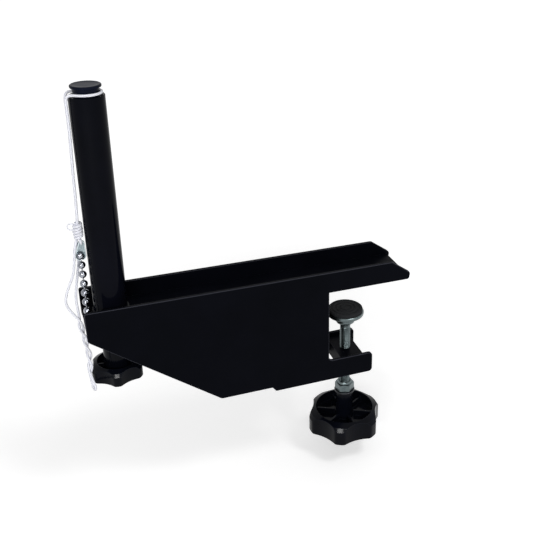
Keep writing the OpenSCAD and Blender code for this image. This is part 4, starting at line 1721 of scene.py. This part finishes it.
@dataclass
class Studio:
    """The pale floor, the white surroundings and the lamps.

    Attributes:
        floor_z: The floor's height in mm, below the clamp knob at its lowest.
        floor_half: Half the floor's side in mm.
        fill: The strength of the surroundings' light.
        glow_near: What the floor under the clamp adds of its own to the camera and in gloss.
        glow_far: The same far from the clamp, where the lamps don't reach, so that all of it reads as white.
        glow_reach: How far from the clamp's middle the first ends and the second starts, in mm.
        lamps: The lamps.
    """

    floor_z: float = -153.5
    floor_half: float = 6000.0
    fill: float = 0.42
    glow_near: float = 0.36
    glow_far: float = 0.62
    glow_reach: tuple[float, float] = (150.0, 700.0)
    lamps: tuple[Softbox, ...] = (
        Softbox("key_softbox", -15, 24, 1.3, (0.36, 0.06), 4.0),
        Softbox("side_softbox", -30, 17, 1.3, (0.36, 0.06), 4.0),
        Softbox("top_softbox", 35, 54, 1.3, (0.3, 0.3), 3.5),
    )

    def build(self) -> None:
        """Makes the floor, the world and the lamps."""
        self.floor()
        self.world()
        for lamp in self.lamps:
            lamp.build()

    def floor(self) -> None:
        """Makes the floor of matt white board, a little uneven in tone."""
        mesh = bmesh.new()
        half, z = self.floor_half * MM, self.floor_z * MM
        corners = ((-half, -half), (half, -half), (half, half), (-half, half))
        mesh.faces.new([mesh.verts.new((x, y, z)) for x, y in corners])
        data = bpy.data.meshes.new("floor")
        mesh.to_mesh(data)
        mesh.free()
        floor = bpy.data.objects.new("floor", data)
        bpy.context.scene.collection.objects.link(floor)
        board = FLOOR_BOARD.material()
        tree = board.node_tree
        place = add_node(tree, "ShaderNodeTexCoord").outputs["Object"]
        middle = (Softbox.target[0] * MM, 0.0, z)
        away = add_node(tree, "ShaderNodeVectorMath", {0: place, 1: middle}, operation="DISTANCE")
        near, far = self.glow_reach
        own = add_node(
            tree,
            "ShaderNodeMapRange",
            {
                "Value": away.outputs["Value"], "From Min": near * MM, "From Max": far * MM,
                "To Min": self.glow_near, "To Max": self.glow_far,
            },
        ).outputs["Result"]  # fmt: skip
        glow = add_node(tree, "ShaderNodeMath", {0: own, 1: self.seen(tree)}, operation="MULTIPLY").outputs[0]
        shader = next(node for node in tree.nodes if node.bl_idname == "ShaderNodeBsdfPrincipled")
        shader.inputs["Emission Color"].default_value = WHITE
        tree.links.new(glow, shader.inputs["Emission Strength"])
        data.materials.append(board)

    def seen(self, tree: bpy.types.NodeTree) -> bpy.types.NodeSocket:
        """Tells what the camera, gloss and glass see from what only gives light.

        Args:
            tree: The node tree that takes the nodes.

        Returns:
            A socket with 1 where it is seen and 0 where it gives light.
        """
        path = add_node(tree, "ShaderNodeLightPath")
        seen = path.outputs["Is Camera Ray"]
        for other in ("Is Glossy Ray", "Is Transmission Ray"):
            either = add_node(tree, "ShaderNodeMath", {0: seen, 1: path.outputs[other]}, operation="MAXIMUM")
            seen = either.outputs[0]
        return seen

    def world(self) -> None:
        """Makes the surroundings: plain white to the camera and in gloss, and a softer fill for the light."""
        world = bpy.data.worlds.new("white_room")
        bpy.context.scene.world = world
        world.use_nodes = True
        tree = world.node_tree
        tree.nodes.clear()
        strength = add_node(
            tree, "ShaderNodeMapRange", {"Value": self.seen(tree), "To Min": self.fill, "To Max": 1.0}
        ).outputs["Result"]
        glow = add_node(tree, "ShaderNodeBackground", {"Color": WHITE, "Strength": strength})
        add_node(tree, "ShaderNodeOutputWorld", {"Surface": glow.outputs["Background"]})
        bpy.context.scene.view_settings.view_transform = "Standard"


def main() -> None:
    """Loads the frame and builds every sub-assembly in order."""
    logging.basicConfig(level=logging.INFO, format="%(message)s")
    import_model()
    Viewpoint().build()
    for kind in (NetCord, Bracket, Post, HeightDrive, ClampFoot, ClampDrive, BallChain, Studio):
        kind().build()


if __name__ == "__main__":
    main()
